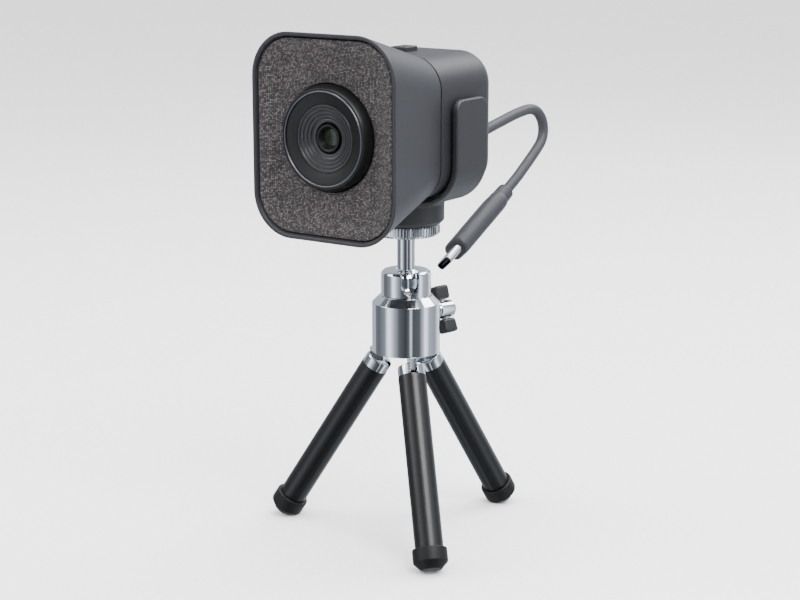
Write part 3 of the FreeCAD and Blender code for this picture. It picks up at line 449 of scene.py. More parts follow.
def coated_glass(name, tint, roughness=0.03):
    """Dark coated glass: the coating's colour changes from the middle to the edge."""
    f = Finish(name)
    x, _, z = f.axes()
    rise = z - FACE_MIDDLE * MM
    reach = (x * x + rise * rise).math("SQRT") * (1 / 0.0026)
    haze = f.noise(300.0)
    colour = mix(reach.ramp((0.25, 0.0), (0.85, 1.0)), rgb(0.003, 0.004, 0.004), rgb(*tint))
    return f.finish(colour, roughness + haze * 0.03, None, **{"Coat Weight": 0.12,
                    "Coat Roughness": 0.04, "Specular IOR Level": 0.3})


# %% Every finish by name
graphite = moulded("graphite_plastic", (0.0142, 0.0141, 0.0176), 0.47, 8500.0, 1.4e-5,
                    **{"Specular IOR Level": 0.4})
cradle_grey = moulded("cradle_plastic", (0.0118, 0.0118, 0.0145), 0.50, 7500.0, 1.6e-5)
fabric = melange("melange_fabric")
lens_black = moulded("lens_black", (0.0030, 0.0030, 0.0034), 0.42, 12000.0, 5e-6,
                     **{"Specular IOR Level": 0.35})
ring_grey = metal("ring_grey", (0.16, 0.16, 0.17), 0.34, (1, 1, 1), 4000.0, 2e-6)
baffle_grey = moulded("baffle_satin", (0.011, 0.0114, 0.0125), 0.34, 12000.0, 5e-6)
front_glass = coated_glass("front_glass", (0.012, 0.016, 0.008))
inner_glass = coated_glass("inner_glass", (0.050, 0.020, 0.060), 0.05)
filter_glass = coated_glass("filter_glass", (0.050, 0.120, 0.130), 0.06)
chrome = metal("polished_chrome", (0.83, 0.86, 0.90), 0.075, (1, 1, 18), 900.0, 1.0e-6)
turned_chrome = metal("turned_chrome", (0.80, 0.82, 0.85), 0.12, (1, 1, 30), 700.0, 1.5e-6)
steel = metal("ground_steel", (0.52, 0.53, 0.55), 0.28, (1, 1, 12), 2500.0, 3e-6)
shell_steel = metal("plug_shell_steel", (0.74, 0.74, 0.75), 0.18, (14, 1, 1), 2500.0, 2e-6)
zinc = metal("zinc_plate", (0.55, 0.56, 0.60), 0.30, (1, 1, 1), 3500.0, 3e-6, 0.2)
nickel = metal("nickel_plate", (0.66, 0.63, 0.57), 0.16, (1, 1, 1), 3000.0, 1.5e-6)
brass = metal("turned_brass", (0.80, 0.60, 0.26), 0.24, (1, 1, 26), 800.0, 4e-6)
aluminium = metal("milled_aluminium", (0.72, 0.73, 0.74), 0.32, (22, 1, 1), 1800.0, 4e-6)
leg_paint = moulded("leg_black_paint", (0.0014, 0.0014, 0.0016), 0.36, 5200.0, 4e-6,
                    **{"Coat Weight": 0.1, "Coat Roughness": 0.22})
rubber = moulded("foot_rubber", (0.0022, 0.0022, 0.0022), 0.50, 3800.0, 1.6e-5,
                 **{"Specular IOR Level": 0.35})
grip_plastic = moulded("grip_plastic", (0.008, 0.008, 0.009), 0.42, 6000.0, 1.5e-5)
jacket = moulded("cable_jacket", (0.024, 0.0245, 0.031), 0.52, 6500.0, 1.0e-5)
plug_plastic = moulded("plug_plastic", (0.020, 0.0205, 0.026), 0.50, 8000.0, 1.4e-5)
nylon = moulded("seat_nylon", (0.62, 0.61, 0.57), 0.5, 4200.0, 1.5e-5, 0.04)
chip = moulded("chip_epoxy", (0.014, 0.014, 0.015), 0.55, 11000.0, 1e-5)
silicon = coated_glass("sensor_silicon", (0.05, 0.06, 0.10), 0.08)
film = moulded("ribbon_film", (0.42, 0.20, 0.03), 0.28, 2500.0, 3e-6, 0.08)
contact_black = moulded("contact_tongue", (0.012, 0.012, 0.013), 0.35, 9000.0, 5e-6)
board_green = solder_mask("board_green")
copper = wound_wire("coil_copper")
print("finishes", len(bpy.data.materials))

# %% [markdown]
# ## Finishing a piece
# A finished piece sits at the origin with its place in its mesh. It rides on the body that
# carries it, and the nodes that it stands for are hidden. Normals are weighted by area, so that
# a flat wall stays flat up to its softened edge.

# %% Finish helper
def finish_piece(bm, name, body, nodes, material, angle=38.0):
    """Turns a shape in millimetres into a finished piece of the object."""
    bmesh.ops.remove_doubles(bm, verts=bm.verts, dist=5e-4)
    bmesh.ops.recalc_face_normals(bm, faces=bm.faces)
    bmesh.ops.scale(bm, vec=(MM, MM, MM), verts=bm.verts)
    mesh = bpy.data.meshes.new(name)
    bm.to_mesh(mesh)
    bm.free()
    mesh.shade_smooth()
    mesh.set_sharp_from_angle(angle=math.radians(angle))
    mesh.materials.append(material)
    piece = bpy.data.objects.new(name, mesh)
    bpy.context.collection.objects.link(piece)
    even = piece.modifiers.new("even_normals", "WEIGHTED_NORMAL")
    even.keep_sharp = True
    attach(piece, body)
    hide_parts(*nodes)
    print(name, len(mesh.polygons), "faces")
    return piece


# %% [markdown]
# ## Camera, floor and light
# The camera stands where a product photographer would put it: well back with a long lens, a
# little above the object and to its left, so that the face and one side both show. The floor and
# surroundings are pale. Chrome only looks like chrome when it has something dark to mirror, so
# reflections see soft grey bands in the world, and they do not see the floor.

# %% Camera
def aim(camera, target, azimuth, elevation, distance):
    """Puts the camera on a sphere round the target, looking at it."""
    turn, rise = math.radians(azimuth), math.radians(elevation)
    back = Vector((math.sin(turn) * math.cos(rise), -math.cos(turn) * math.cos(rise),
                   math.sin(rise)))
    camera.location = Vector(target) + back * distance
    camera.rotation_euler = back.to_track_quat("Z", "Y").to_euler()


camera = bpy.data.objects.new("camera", bpy.data.cameras.new("camera"))
camera.data.lens = 85.95
camera.data.sensor_width = 36.0
camera.data.shift_x = -0.0075
camera.data.clip_start = 0.01
bpy.context.collection.objects.link(camera)
aim(camera, (0, 0, 0.07115), 34.69, 12.72, 0.5682)
bpy.context.scene.camera = camera


# %% Floor
def pale_floor():
    f = Finish("pale_floor")
    soft = f.noise(9.0, 3.0)
    return f.finish(mix(soft, rgb(0.86, 0.86, 0.865), rgb(0.90, 0.90, 0.90)), 0.6 + soft * 0.1)


bm = bmesh.new()
bmesh.ops.create_grid(bm, x_segments=8, y_segments=8, size=12.0)
mesh = bpy.data.meshes.new("floor")
bm.to_mesh(mesh)
bm.free()
mesh.materials.append(pale_floor())
floor = bpy.data.objects.new("floor", mesh)
bpy.context.collection.objects.link(floor)
floor.visible_glossy = False


# %% Light
MIDDLE = Vector((0, 0, 0.09))


def soft_light(name, place, size, power, colour=(1, 1, 1)):
    """A rectangular light that points at the middle of the object."""
    light = bpy.data.objects.new(name, bpy.data.lights.new(name, "AREA"))
    light.data.shape, light.data.size, light.data.size_y = "RECTANGLE", size[0], size[1]
    light.data.energy, light.data.color = power, colour
    light.location = place
    direction = Vector(place) - MIDDLE
    light.rotation_euler = direction.to_track_quat("Z", "Y").to_euler()
    bpy.context.collection.objects.link(light)


soft_light("key", (0.55, -0.25, 0.75), (0.5, 0.4), 9.0)
soft_light("fill", (-0.60, -0.50, 0.62), (0.5, 0.6), 4.5, (0.97, 0.98, 1.0))
soft_light("rim", (0.22, 0.60, 0.70), (0.6, 0.4), 6.0)
soft_light("top", (-0.02, 0.05, 0.85), (0.5, 0.5), 8.5)

world = bpy.data.worlds.new("studio")
bpy.context.scene.world = world
world.use_nodes = True
tree = world.node_tree
tree.nodes.clear()
way = Wire.node(tree, "ShaderNodeTexCoord", out="Generated")
around = Wire.node(tree, "ShaderNodeTexGradient", {"gradient_type": "RADIAL"}, {"Vector": way})
COOL = (0.88, 0.95, 1.04)
bands = around.ramp(*((place, tuple(c * tone for c in COOL)) for place, tone in (
    (0.000, 0.10), (0.060, 0.08), (0.135, 0.16), (0.178, 0.95), (0.232, 0.28), (0.282, 0.07),
    (0.346, 0.03), (0.378, 0.08), (0.390, 0.60), (0.410, 0.05), (0.477, 0.07), (0.515, 0.35),
    (0.540, 1.00), (0.585, 0.28), (0.668, 0.20), (0.746, 0.75), (0.846, 0.30))))
mirrored = Wire.node(tree, "ShaderNodeLightPath", out="Is Glossy Ray")
seen = mix(mirrored, rgb(0.93, 0.935, 0.94), bands)
glow = Wire.node(tree, "ShaderNodeBackground", None, {"Color": seen, "Strength": 2.3})
Wire.node(tree, "ShaderNodeOutputWorld", None, {"Surface": glow})

# %% [markdown]
# ## The cable and its plug
# The cable is a fixed length of flexible lead, so it comes before the shells: it leaves the back
# straight, rises, turns over in one tight bend and comes down to the plug. A NURBS spline of
# order 3 gives one smooth curve through that route, and its bevel gives it the real thickness.

# %% The cable
CABLE_ROUTE = [
    (0.0, 22.0, 115.3), (0.0, 32.0, 115.3), (0.5, 42.6, 117.4), (1.1, 50.5, 119.15),
    (1.9, 58.6, 121.0), (2.8, 67.6, 122.1), (3.4, 72.5, 117.7), (3.9, 72.0, 111.6),
    (4.3, 65.4, 107.4), (4.35, 59.5, 103.75), (4.22, 54.74, 100.63), (3.7, 50.28, 97.82),
]
CABLE_RADIUS = 1.65

curve = bpy.data.curves.new("cable_lead", "CURVE")
curve.dimensions = "3D"
spline = curve.splines.new("NURBS")
spline.points.add(len(CABLE_ROUTE) - 1)
for point, place in zip(spline.points, CABLE_ROUTE):
    point.co = (*(Vector(place) * MM), 1.0)
spline.order_u = 3
spline.use_endpoint_u = True
spline.resolution_u = 14
curve.bevel_depth = CABLE_RADIUS * MM
curve.bevel_resolution = 10
curve.use_fill_caps = True
curve.materials.append(jacket)
cable = bpy.data.objects.new("cable_lead", curve)
bpy.context.collection.objects.link(cable)
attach(cable, "webcam")
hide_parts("cable")

# %% [markdown]
# The strain relief is a short tapering sleeve. Shallow grooves round it let it bend, which is
# why its outline goes in and out. The plug is a rounded block, wider than thick, with a stepped
# collar, a folded steel shell with a mouth and a contact tongue inside.

# %% Strain relief
gland_low, gland_high = box_mm("cable_gland")
GLAND_END = gland_high.y
WALL_Y = rear_high.y
ribs = []
for step in range(4):
    start = WALL_Y + 0.3 + step * 1.15
    wide = 3.1 - step * 0.17
    ribs += [(wide, start), (wide - 0.08, start + 0.75), (wide - 0.45, start + 0.85),
             (wide - 0.45, start + 1.05)]
outline = [(0, gland_low.y), (3.4, gland_low.y), (3.4, gland_low.y + 1), (2.15, gland_low.y + 1),
           (2.15, WALL_Y + 0.3), *ribs, (2.3, GLAND_END - 0.35), (2.05, GLAND_END), (0, GLAND_END)]
upright = Matrix.Translation((0, 0, CABLE_ROUTE[0][2])) @ Matrix.Rotation(-math.pi / 2, 4, "X")
gland = finish_piece(turned(outline, upright, 0.07, 64), "strain_relief", "webcam",
                     ["cable_gland"], jacket)

# %% Plug
PLUG_ROLL = 42.0
COLLAR, MOULD, SHELL = 5.1, 24.3, 6.3
plug_start = Vector(CABLE_ROUTE[-1])
plug_ahead = plug_start - Vector(CABLE_ROUTE[-2])
PLUG = frame_along(plug_start, plug_ahead, Vector((1, 0, 0)))
PLUG = PLUG @ Matrix.Rotation(math.radians(PLUG_ROLL), 4, "Z")
LIE = Matrix.Rotation(math.pi / 2, 4, "X")


def plug_loop(bm, width, thick, corner, depth):
    """A rounded rectangle across the plug, at a distance from the plug's start."""
    return rounded_loop(bm, (width, thick, corner), (0, depth, 0), 10)


def plug_loft(sections, closed=False):
    bm = bmesh.new()
    loops = [plug_loop(bm, *section) for section in sections]
    loft(bm, loops, closed)
    if not closed:
        cap(bm, loops[0])
        cap(bm, loops[-1])
    bmesh.ops.transform(bm, matrix=PLUG @ LIE, verts=bm.verts)
    return bm


collar_shape = turned([(0, 0.05), (2.2, 0.05), (2.6, 0.45), (2.8, COLLAR - 0.5),
                       (2.95, COLLAR + 0.2), (0, COLLAR + 0.2)], PLUG, 0.15, 48)
collar = finish_piece(collar_shape, "plug_neck", "webcam", ["plug_collar"], plug_plastic)
start, end = COLLAR, COLLAR + MOULD
mould = plug_loft([(8.6, 4.6, 2.2, start), (9.9, 5.3, 2.6, start + 0.25),
                   (10.6, 5.7, 2.8, start + 0.9), (11.3, 6.05, 2.95, start + 2.4),
                   (11.4, 6.1, 3.0, start + 5.0), (11.4, 6.1, 3.0, end - 1.0),
                   (11.1, 5.8, 2.85, end - 0.35), (10.5, 5.2, 2.55, end)])
overmould = finish_piece(mould, "plug_grip", "webcam", ["plug_overmould"], plug_plastic)
tip = end + SHELL
shell = plug_loft([(8.34, 2.56, 1.26, end - 0.4), (8.34, 2.56, 1.26, tip - 0.25),
                   (8.05, 2.27, 1.12, tip), (7.74, 1.96, 0.96, tip - 0.02),
                   (7.74, 1.96, 0.96, end + 0.9)])
steel_shell = finish_piece(shell, "plug_steel_shell", "webcam", ["plug_shell"], shell_steel)
tongue = plug_loft([(6.2, 0.7, 0.3, end + 0.85), (6.2, 0.7, 0.3, tip - 1.0),
                    (5.9, 0.5, 0.2, tip - 0.7)])
contacts = finish_piece(tongue, "plug_tongue", "webcam", ["plug_contacts"], contact_black)
tuple(Vector(CABLE_ROUTE[0]) * MM)

# %% [markdown]
# ## The housings
# The front housing is a tapering tube: a tall rounded rectangle in front, a square one at the
# seam, with straight walls between. Its wall is a ring of four lofts: outside, seam edge, inside
# and rim. The back is a cup with a large soft edge, four small lugs and a step that plugs into
# the front housing, which leaves the thin dark seam.

# %% Housing sections
def housing_loop(bm, depth, inset=0.0, steps=16):
    """The housing's outline at a depth behind the face, drawn in by an inset."""
    part = min(depth / SEAM, 1.0)
    size = FACE_SIZE.lerp(BACK_SIZE, part)
    size = (size.x - 2 * inset, size.y - 2 * inset, size.z - inset)
    return rounded_loop(bm, size, (0, FACE_Y + depth, FACE_MIDDLE + BACK_RISE * part), steps)


RIM, WALL, RIM_DEPTH = 1.15, 1.7, 3.0
bm = bmesh.new()
loops = [housing_loop(bm, 0.0, 0.0), housing_loop(bm, SEAM / 2, 0.0), housing_loop(bm, SEAM, 0.0),
         housing_loop(bm, SEAM, WALL), housing_loop(bm, RIM_DEPTH, RIM + 0.05),
         housing_loop(bm, 0.0, RIM)]
loft(bm, loops, closed=True)
soften(bm, 0.36, 4)
finish_piece(bm, "front_shell", "webcam", ["front_housing"], graphite)

# %% Rear housing
STEP_IN, STEP_LONG, STEP_WALL = WALL + 0.35, 2.2, 0.55
BACK_FRONT, BACK_EDGE = SEAM + 0.42, 5.5
hollow = STEP_IN + STEP_WALL
bm = bmesh.new()
loops = [housing_loop(bm, depth, inset) for depth, inset in (
    (BACK_DEPTH - WALL, hollow), (SEAM - STEP_LONG, hollow), (SEAM - STEP_LONG, STEP_IN),
    (BACK_FRONT, STEP_IN), (BACK_FRONT, 0.0), (BACK_DEPTH - BACK_EDGE - 2.5, 0.0),
    (BACK_DEPTH, 0.0))]
loft(bm, loops)
cap(bm, loops[0])
cap(bm, loops[-1])
bmesh.ops.recalc_face_normals(bm, faces=bm.faces)
for depth, width, steps in ((BACK_DEPTH, BACK_EDGE, 12), (BACK_FRONT, 0.28, 3)):
    edges = [e for e in bm.edges
             if all(abs(v.co.y - FACE_Y - depth) < 1e-3 for v in e.verts)]
    soften(bm, width, steps, 28.0, edges)
middle = FACE_MIDDLE + BACK_RISE
reach = BACK_SIDE / 2 + LUG_RISE - 1.2
LUG_Y = -0.6
lugs = [block((2.4, 5.8, 4.4) if dx else (4.4, 5.8, 2.4),
              (dx * reach, LUG_Y, middle + dz * reach), 0.35)
        for dx, dz in ((1, 0), (-1, 0), (0, -1))]
lugs.append(block((4.9, 6.3, 2.9), (0, LUG_Y, middle + reach + 0.25), 0.45, steps=4))
finish_piece(together(bm, *lugs), "rear_shell", "webcam", ["rear_housing"], graphite)

# %% [markdown]
# ## The fabric face
# The fabric is one sheet, stretched over a dished plate and tucked in round the edge. Its section
# runs from the tuck, over a small roll beside the rim, down a gentle slope and across the flat
# round the lens. A closed sheet is made: the section is lofted, a circle is the hole's edge, and
# solidify gives the cloth its thickness. Blender's cloth would only add noise to a skin that is
# pulled this tight, so its form is set by the loops themselves.

# %% Fabric
LENS_HOLE = 15.3
DISH = [(0.2, 2.3), (0.2, 1.35), (0.32, 1.0), (0.62, 0.82), (1.1, 0.86), (2.0, 1.14),
        (3.2, 1.68), (4.4, 2.28), (5.7, 2.88), (7.0, 3.25)]
bm = bmesh.new()
loops = [housing_loop(bm, depth, RIM + inset, 18) for inset, depth in DISH]
for radius, depth in ((LENS_HOLE + 0.35, 3.38), (LENS_HOLE, 3.5), (LENS_HOLE, 3.8)):
    place = LENS_AXIS @ Matrix.Translation((0, 0, depth))
    ring = bmesh.ops.create_circle(bm, cap_ends=False, radius=radius, segments=76, matrix=place)
    loops.append(list({e for v in ring["verts"] for e in v.link_edges}))
loft(bm, loops)
bmesh.ops.recalc_face_normals(bm, faces=bm.faces)
if sum(f.normal.y * f.calc_area() for f in bm.faces) > 0:
    bmesh.ops.reverse_faces(bm, faces=bm.faces)
cloth_area = sum(f.calc_area() for f in bm.faces) * MM * MM
bmesh.ops.solidify(bm, geom=list(bm.faces), thickness=0.35)
cover = finish_piece(bm, "fabric_face", "webcam", ["fabric_cover"], fabric, 60.0)
print("cloth area", round(cloth_area * 1e6), "square mm")

# %% [markdown]
# ## The lens
# Everything round the lens is turned on one axis. The surround flares backward to the fabric, a
# thin grey ring sits in its front edge, a smooth band falls to a cone of fine steps that keep
# stray light off the glass, and the barrel stands in the middle with its curved front element.

# %% Surround, ring and stepped cone
surround_shape = turned([(9.55, 1.32), (11.2, 0.86), (12.83, 0.55), (12.83, 1.0), (13.46, 1.0),
                         (13.46, 0.16), (13.95, 0.16), (14.35, 0.75), (14.75, 1.9),
                         (15.02, 3.2), (15.1, 5.2), (16.8, 5.25), (16.8, 6.4), (11.6, 6.4),
                         (11.6, 3.2), (9.55, 3.2)], LENS_AXIS, 0.1, 128, True)
finish_piece(surround_shape, "lens_bezel", "webcam", ["lens_surround"], lens_black)
ring_shape = turned([(12.87, 0.2), (13.0, 0.04), (13.3, 0.04), (13.43, 0.2), (13.43, 0.95),
                     (12.87, 0.95)], LENS_AXIS, 0.05, 128, True)
finish_piece(ring_shape, "lens_bright_ring", "webcam", ["lens_rim_ring"], ring_grey)

STEPS = 4
tread = (9.5 - 5.4) / STEPS
cone = []
for step in range(STEPS):
    radius, depth = 9.5 - step * tread, 1.36 + step * 0.38
    cone += [(radius, depth), (radius - 0.2, depth - 0.2), (radius - 0.55, depth - 0.16),
             (radius - 0.72, depth + 0.3)]
cone += [(5.4, 2.95), (5.15, 2.85), (4.6, 2.95), (4.35, 3.3), (4.35, 4.6), (9.5, 4.6)]
finish_piece(turned(cone, LENS_AXIS, 0.04, 128, True), "stepped_cone", "webcam",
             ["lens_baffle"], baffle_grey)

# %% Barrel and front element
barrel_shape = turned([(2.5, 4.3), (2.62, 3.95), (3.05, 3.1), (3.2, 2.72), (3.45, 2.6),
                       (3.75, 2.6), (3.85, 2.72), (3.85, 4.7), (3.3, 4.7), (3.3, 11.0),
                       (1.9, 11.0), (1.9, 10.5), (2.8, 10.5), (2.8, 4.45)], LENS_AXIS, 0.05, 96,
                      True)
finish_piece(barrel_shape, "lens_tube", "focus_lens", ["lens_barrel"], lens_black)
BULGE, GLASS = 0.5, 2.66
GLASS_FRONT, GLASS_BACK = 4.02, 5.9
dome = [(GLASS * math.sin(a), GLASS_FRONT + BULGE * (1 - math.cos(a)))
        for a in [math.pi / 2 * i / 12 for i in range(13)]]
glass = turned(dome + [(GLASS, GLASS_BACK), (0, GLASS_BACK)], LENS_AXIS, 0, 96)
finish_piece(glass, "front_element", "focus_lens", ["front_lens"], front_glass)

# %% [markdown]
# ## The cradle
# The cradle is one moulding: a U that hugs the back housing, open at the top, and a round boss
# under it for the camera thread. A flat U outline with two radii at each lower corner is pulled
# out to its width. Then the tops of the arms and all edges are rounded.

# %% Cradle
cradle_low, cradle_high = box_mm("cradle")
ARM_X, ARM_TOP, BOSS_BOTTOM = cradle_high.x, cradle_high.z, cradle_low.z
ARM_THICK, WEB_BOTTOM, WEB_TOP, ARM_HALF = 2.0, 101.7, 103.1, 8.0
bm = bmesh.new()
inner_x = ARM_X - ARM_THICK
outer = [bm.verts.new((x, -ARM_HALF, z)) for x, z in
         ((-ARM_X, ARM_TOP), (-ARM_X, WEB_BOTTOM), (ARM_X, WEB_BOTTOM), (ARM_X, ARM_TOP))]
inner = [bm.verts.new((x, -ARM_HALF, z)) for x, z in
         ((inner_x, ARM_TOP), (inner_x, WEB_TOP), (-inner_x, WEB_TOP), (-inner_x, ARM_TOP))]
bm.faces.new(outer + inner)
for corners, radius in ((outer[1:3], 13.0), (inner[1:3], 11.0)):
    round_corners(bm, corners, radius, 20)
pull(bm, 2 * ARM_HALF)
tops = [e for e in bm.edges if all(abs(v.co.z - ARM_TOP) < 1e-3 for v in e.verts)
        and abs(e.verts[0].co.y - e.verts[1].co.y) < 1e-3]
bmesh.ops.bevel(bm, geom=tops, offset=3.6, offset_type="OFFSET", affect="EDGES", segments=10,
                profile=0.5, material=-1, clamp_overlap=True)
soften(bm, 0.62, 4, 50.0)
boss = turned([(0, BOSS_BOTTOM), (10.2, BOSS_BOTTOM), (11.3, BOSS_BOTTOM + 1.1),
               (11.3, WEB_BOTTOM - 1.0), (11.8, WEB_BOTTOM - 0.2), (12.6, WEB_BOTTOM + 0.3),
               (11.2, WEB_BOTTOM + 0.4), (0, WEB_BOTTOM + 0.4)], Matrix(), 0.2, 96)
finish_piece(together(bm, boss), "webcam_cradle", "webcam", ["cradle"], cradle_grey)

# %% [markdown]
# ## The ball head
# The head is bright turned metal. The stem and its ball are one outline. The socket is a cup with
# a drop slot, so the slot is cut out of a turned blank, and the cut's edges are rounded. The lock
# disc's knurl is made by drawing pairs of columns of its rim inward.

# %% Stem, ball and lock disc
ball_low, stud_high = box_mm("ball_stem")
BALL = radius_mm("ball_stem")
BALL_Z = ball_low.z + BALL
STEM, STUD = 2.63, 3.1
neck = math.asin(STEM / BALL)
arc = [(BALL * math.sin(a), BALL_Z - BALL * math.cos(a))
       for a in [(math.pi - neck) * i / 26 for i in range(27)]]
stem_top = box_mm("lock_disc")[0].z
threads = []
for turn in range(9):
    z = stem_top + 0.5 + turn
    threads += [(STUD, z), (STUD, z + 0.3), (STUD - 0.4, z + 0.65)]
stem_outline = arc + [(STEM, BALL_Z + 5.0), (STEM, stem_top - 0.5), *threads,
                      (STUD - 0.6, stud_high.z), (0, stud_high.z)]
finish_piece(turned(stem_outline, Matrix(), 0, 96), "ball_and_stem", "ball_stem", ["ball_stem"],
             chrome)

disc_low, disc_high = box_mm("lock_disc")
DISC, TEETH = radius_mm("lock_disc"), 64
disc = turned([(3.16, disc_low.z), (DISC - 0.75, disc_low.z), (DISC, disc_low.z + 0.7),
               (DISC, disc_high.z - 0.35), (DISC - 0.35, disc_high.z), (3.16, disc_high.z)],
              Matrix(), 0, 4 * TEETH, True)
valleys = [v for v in disc.verts if v.co.xy.length > DISC - 0.1
           and round((math.atan2(v.co.y, v.co.x) % math.tau) / math.tau * 4 * TEETH) % 4 > 1]
bmesh.ops.scale(disc, vec=(0.958, 0.958, 1), verts=valleys)
finish_piece(disc, "knurled_disc", "lock_disc", ["lock_disc"], turned_chrome,
             25.0)

# %% Socket
socket_low, socket_high = box_mm("ball_socket")
SOCKET, TOP = radius_mm("ball_socket"), socket_high.z
HUB_TOP = box_mm("leg_hub")[1].z
cup = turned([(5.05, socket_low.z), (6.8, socket_low.z), (6.8, HUB_TOP), (7.15, HUB_TOP),
              (SOCKET, HUB_TOP + 0.3), (SOCKET, TOP - 1.5), (SOCKET - 0.2, TOP - 0.75),
              (SOCKET - 0.75, TOP - 0.2), (SOCKET - 1.5, TOP), (3.5, TOP), (3.5, TOP - 0.9),
              (4.2, BALL_Z + 2.7), (4.75, BALL_Z + 1.6), (5.05, BALL_Z)], Matrix(), 0, 96, True)
SLOT = 2.72
slot = tab(SLOT, 10, 12)
place = Matrix.Translation(radial(SLOT_ANGLE, 6.0, BALL_Z))
bmesh.ops.transform(slot, matrix=place @ Matrix.Rotation(math.radians(SLOT_ANGLE + 90), 4, "Z"),
                    verts=slot.verts)
finish_piece(carve(cup, slot, 0.22), "slotted_socket", "tripod_head", ["ball_socket"], chrome)

# %% [markdown]
# ## The hub and the thumb screw
# The hub is a plain turned drum with a sloping shoulder, and a plate with three tongues is let
# into its underside. The thumb screw has a bar through its head with a moulded grip at each end,
# so the bar lies across the screw's axis.

# %% Hub, plate and screw
hub_low, hub_high = box_mm("leg_hub")
HUB, NECK, SHOULDER, RECESS = radius_mm("leg_hub"), 7.9, 70.7, 8.9
ROOF = 58.6
drum = turned([(0, ROOF), (RECESS, ROOF), (RECESS, hub_low.z), (HUB - 0.12, hub_low.z),
               (HUB, hub_low.z + 0.12), (HUB, SHOULDER), (NECK, hub_high.z), (7.6, hub_high.z),
               (7.45, hub_high.z - 0.3), (0, hub_high.z - 0.3)], Matrix(), 0.18, 128)
finish_piece(drum, "hub_drum", "tripod_head", ["leg_hub"], chrome)

PLATE_TOP = box_mm("leg_spider")[1].z
PIVOT_REACH, PIVOT_Z, TONGUE, TONGUE_THICK = 9.1, 51.6, 2.2, 2.0
plate = turned([(0, PLATE_TOP - 1.5), (RECESS - 0.06, PLATE_TOP - 1.5),
                (RECESS - 0.06, PLATE_TOP), (0, PLATE_TOP)], Matrix(), 0.1, 96)
tongues = []
for angle in LEG_ANGLES.values():
    tongue = tab(TONGUE, 4.6, TONGUE_THICK, 0.15)
    place = Matrix.Translation(radial(angle, PIVOT_REACH, PIVOT_Z))
    bmesh.ops.transform(tongue, matrix=place @ Matrix.Rotation(math.radians(angle), 4, "Z"),
                        verts=tongue.verts)
    tongues.append(tongue)
finish_piece(together(plate, *tongues), "tongue_plate", "tripod_head", ["leg_spider"],
             turned_chrome)

HEAD_Z, HEAD, HEAD_HIGH = box_mm("hub_screw")[0].z, 2.7, 1.6
head = turned([(0, HEAD_Z), (HEAD - 0.5, HEAD_Z), (HEAD, HEAD_Z + 0.5),
               (HEAD, HEAD_Z + HEAD_HIGH), (0, HEAD_Z + HEAD_HIGH)], Matrix(), 0.1, 64)
for arm in ((3.2, 0.7, 1.4), (0.7, 3.2, 1.4)):
    head = carve(head, block(arm, (0, 0, HEAD_Z), 0))
finish_piece(head, "hub_cross_screw", "tripod_head", ["hub_screw"], zinc)

# %% Thumb screw
THUMB_Z, THUMB_END = 66.1, 18.9
THUMB = frame_along(Vector((0, 0, THUMB_Z)), radial(THUMB_ANGLE, 1.0), Vector((0, 0, 1)))
THUMB = THUMB @ Matrix.Rotation(math.radians(-21.0), 4, "Z")
BAR_AT, BAR_END = 14.9, 6.6
screw = turned([(0, 6.4), (2.0, 6.4), (2.0, 11.6), (2.35, 12.0), (2.7, 12.8), (2.7, 17.4),
                (2.45, 17.7), (1.5, 18.8), (1.2, THUMB_END), (0, THUMB_END)], THUMB, 0.1, 64)
finish_piece(screw, "thumb_screw_body", "thumb_screw", ["thumb_screw"], chrome)
bar = turned([(0, -BAR_END), (1.0, -BAR_END), (1.25, 0.25 - BAR_END), (1.25, BAR_END - 0.25),
              (1.0, BAR_END), (0, BAR_END)],
             THUMB @ Matrix.Translation((0, 0, BAR_AT)) @ Matrix.Rotation(math.pi / 2, 4, "Y"),
             0, 48)
finish_piece(bar, "thumb_bar", "thumb_screw", ["thumb_crossbar"], steel)


def grip(side):
    """One moulded grip: a soft-edged block that widens outward."""
    bm = bmesh.new()
    bmesh.ops.create_cube(bm, size=1.0)
    bmesh.ops.scale(bm, vec=(4.3, 3.9, 4.8), verts=bm.verts)
    outer_end = [v for v in bm.verts if v.co.x * side > 0]
    bmesh.ops.scale(bm, vec=(1, 1.05, 1.07), verts=outer_end)
    soften(bm, 0.9, 5)
    place = THUMB @ Matrix.Translation((side * 5.1, 0, BAR_AT))
    bmesh.ops.transform(bm, matrix=place, verts=bm.verts)
    return bm


finish_piece(together(grip(-1), grip(1)), "thumb_moulded_grips", "thumb_screw", ["thumb_grips"],
             grip_plastic)

# %% [markdown]
# ## The legs
# Each leg is a painted tube with a slotted chrome clevis at its top and a rubber cap at its foot.
# All three are made by one loop, drawn down the leg from the top of the clevis. A rubber foot
# that has stood on a desk is flat underneath, so each cap is cut at floor level.

# %% Legs
SPLAY, PIVOT_DOWN = math.radians(32.0), 1.65
TUBE_TOP, TUBE_END, TUBE, FOOT = 3.25, 58.4, 4.14, 5.08
FORK_SLOT, FORK_END, PIN_END = TONGUE_THICK + 0.14, 11.0, 3.78


def leg_frame(angle):
    """The placement whose Z runs down the leg and whose X is tangential."""
    down = radial(angle, math.sin(SPLAY), -math.cos(SPLAY))
    top = radial(angle, PIVOT_REACH, PIVOT_Z) - down * PIVOT_DOWN
    return frame_along(top, down, radial(angle + 90, 1.0))


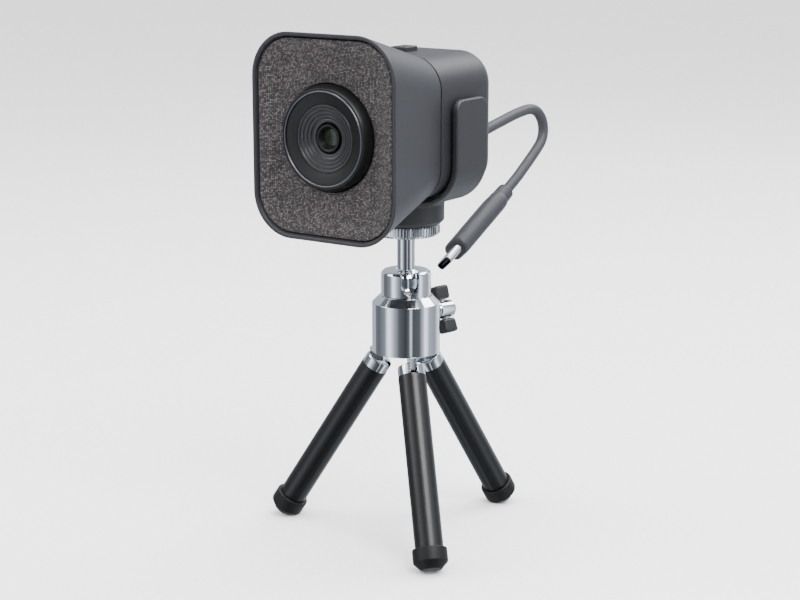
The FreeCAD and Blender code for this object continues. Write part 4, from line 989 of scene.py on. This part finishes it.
for number, angle in LEG_ANGLES.items():
    place, leg = leg_frame(angle), f"leg_{number}"
    fork = turned([(0, 0), (3.45, 0), (3.85, 0.15), (4.05, 0.55), (4.05, TUBE_TOP),
                   (3.46, TUBE_TOP), (3.46, FORK_END), (0, FORK_END)], Matrix(), 0, 96)
    fork = carve(fork, block((FORK_SLOT, 14, 10), (0, 0, PIVOT_DOWN + 2.5 - 5), 0), 0.12)
    bmesh.ops.transform(fork, matrix=place, verts=fork.verts)
    finish_piece(fork, f"{leg}_fork", leg, [f"{leg}_clevis"], chrome)
    across = place @ Matrix.Translation((0, 0, PIVOT_DOWN)) @ Matrix.Rotation(math.pi / 2, 4, "Y")
    pin = turned([(0, -PIN_END), (0.7, -PIN_END), (0.9, 0.18 - PIN_END), (0.9, PIN_END - 0.18),
                  (0.7, PIN_END), (0, PIN_END)], across, 0, 40)
    finish_piece(pin, f"{leg}_hinge_pin", leg, [f"{leg}_pin"], steel)
    tube = turned([(3.5, TUBE_TOP), (3.95, TUBE_TOP), (TUBE, TUBE_TOP + 0.2), (TUBE, TUBE_END),
                   (3.5, TUBE_END)], place, 0, 96, True)
    finish_piece(tube, f"{leg}_painted_tube", leg, [f"{leg}_tube"], leg_paint)
    boot = turned([(0, 58.5), (4.17, 58.5), (4.17, 54.9), (4.75, 54.9), (4.98, 55.0),
                   (FOOT, 55.25), (FOOT, 58.7), (4.95, 59.1), (3.2, 60.85), (2.88, 61.05),
                   (0, 61.05)], place, 0.08, 96)
    bmesh.ops.remove_doubles(boot, verts=boot.verts, dist=1e-4)
    cut = bmesh.ops.bisect_plane(boot, geom=boot.verts[:] + boot.edges[:] + boot.faces[:],
                                 plane_co=(0, 0, 0.0), plane_no=(0, 0, -1), clear_outer=True)
    cap(boot, [e for e in cut["geom_cut"] if isinstance(e, bmesh.types.BMEdge)])
    finish_piece(boot, f"{leg}_rubber_boot", leg, [f"{leg}_foot"], rubber)

# %% [markdown]
# ## Finishes for the inner parts
# The inner parts keep the shapes of their nodes. Each takes a detailed finish in place of the
# plain colour that it was packed with.

# %% Inner parts
INNER = {
    chip: ("processor_chip", "lens_carrier"),
    board_green: ("sensor_board", "main_board"),
    copper: ("focus_coil",),
    nickel: ("focus_magnets",),
    lens_black: ("grille_plate", "focus_base"),
    steel: ("focus_yoke", "wedge_pin"),
    inner_glass: ("middle_lens", "rear_lens"),
    filter_glass: ("ir_filter",),
    silicon: ("image_sensor",),
    aluminium: ("heat_spreader", "microphones"),
    zinc: ("housing_screws", "sensor_board_screws", "main_board_screws"),
    film: ("board_ribbon",),
    brass: ("threaded_insert",),
    nylon: ("ball_seat",),
}
for material, nodes in INNER.items():
    for node in nodes:
        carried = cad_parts[node]
        for slot_of_node in carried.material_slots:
            slot_of_node.material = material
print("inner parts", sum(len(nodes) for nodes in INNER.values()))
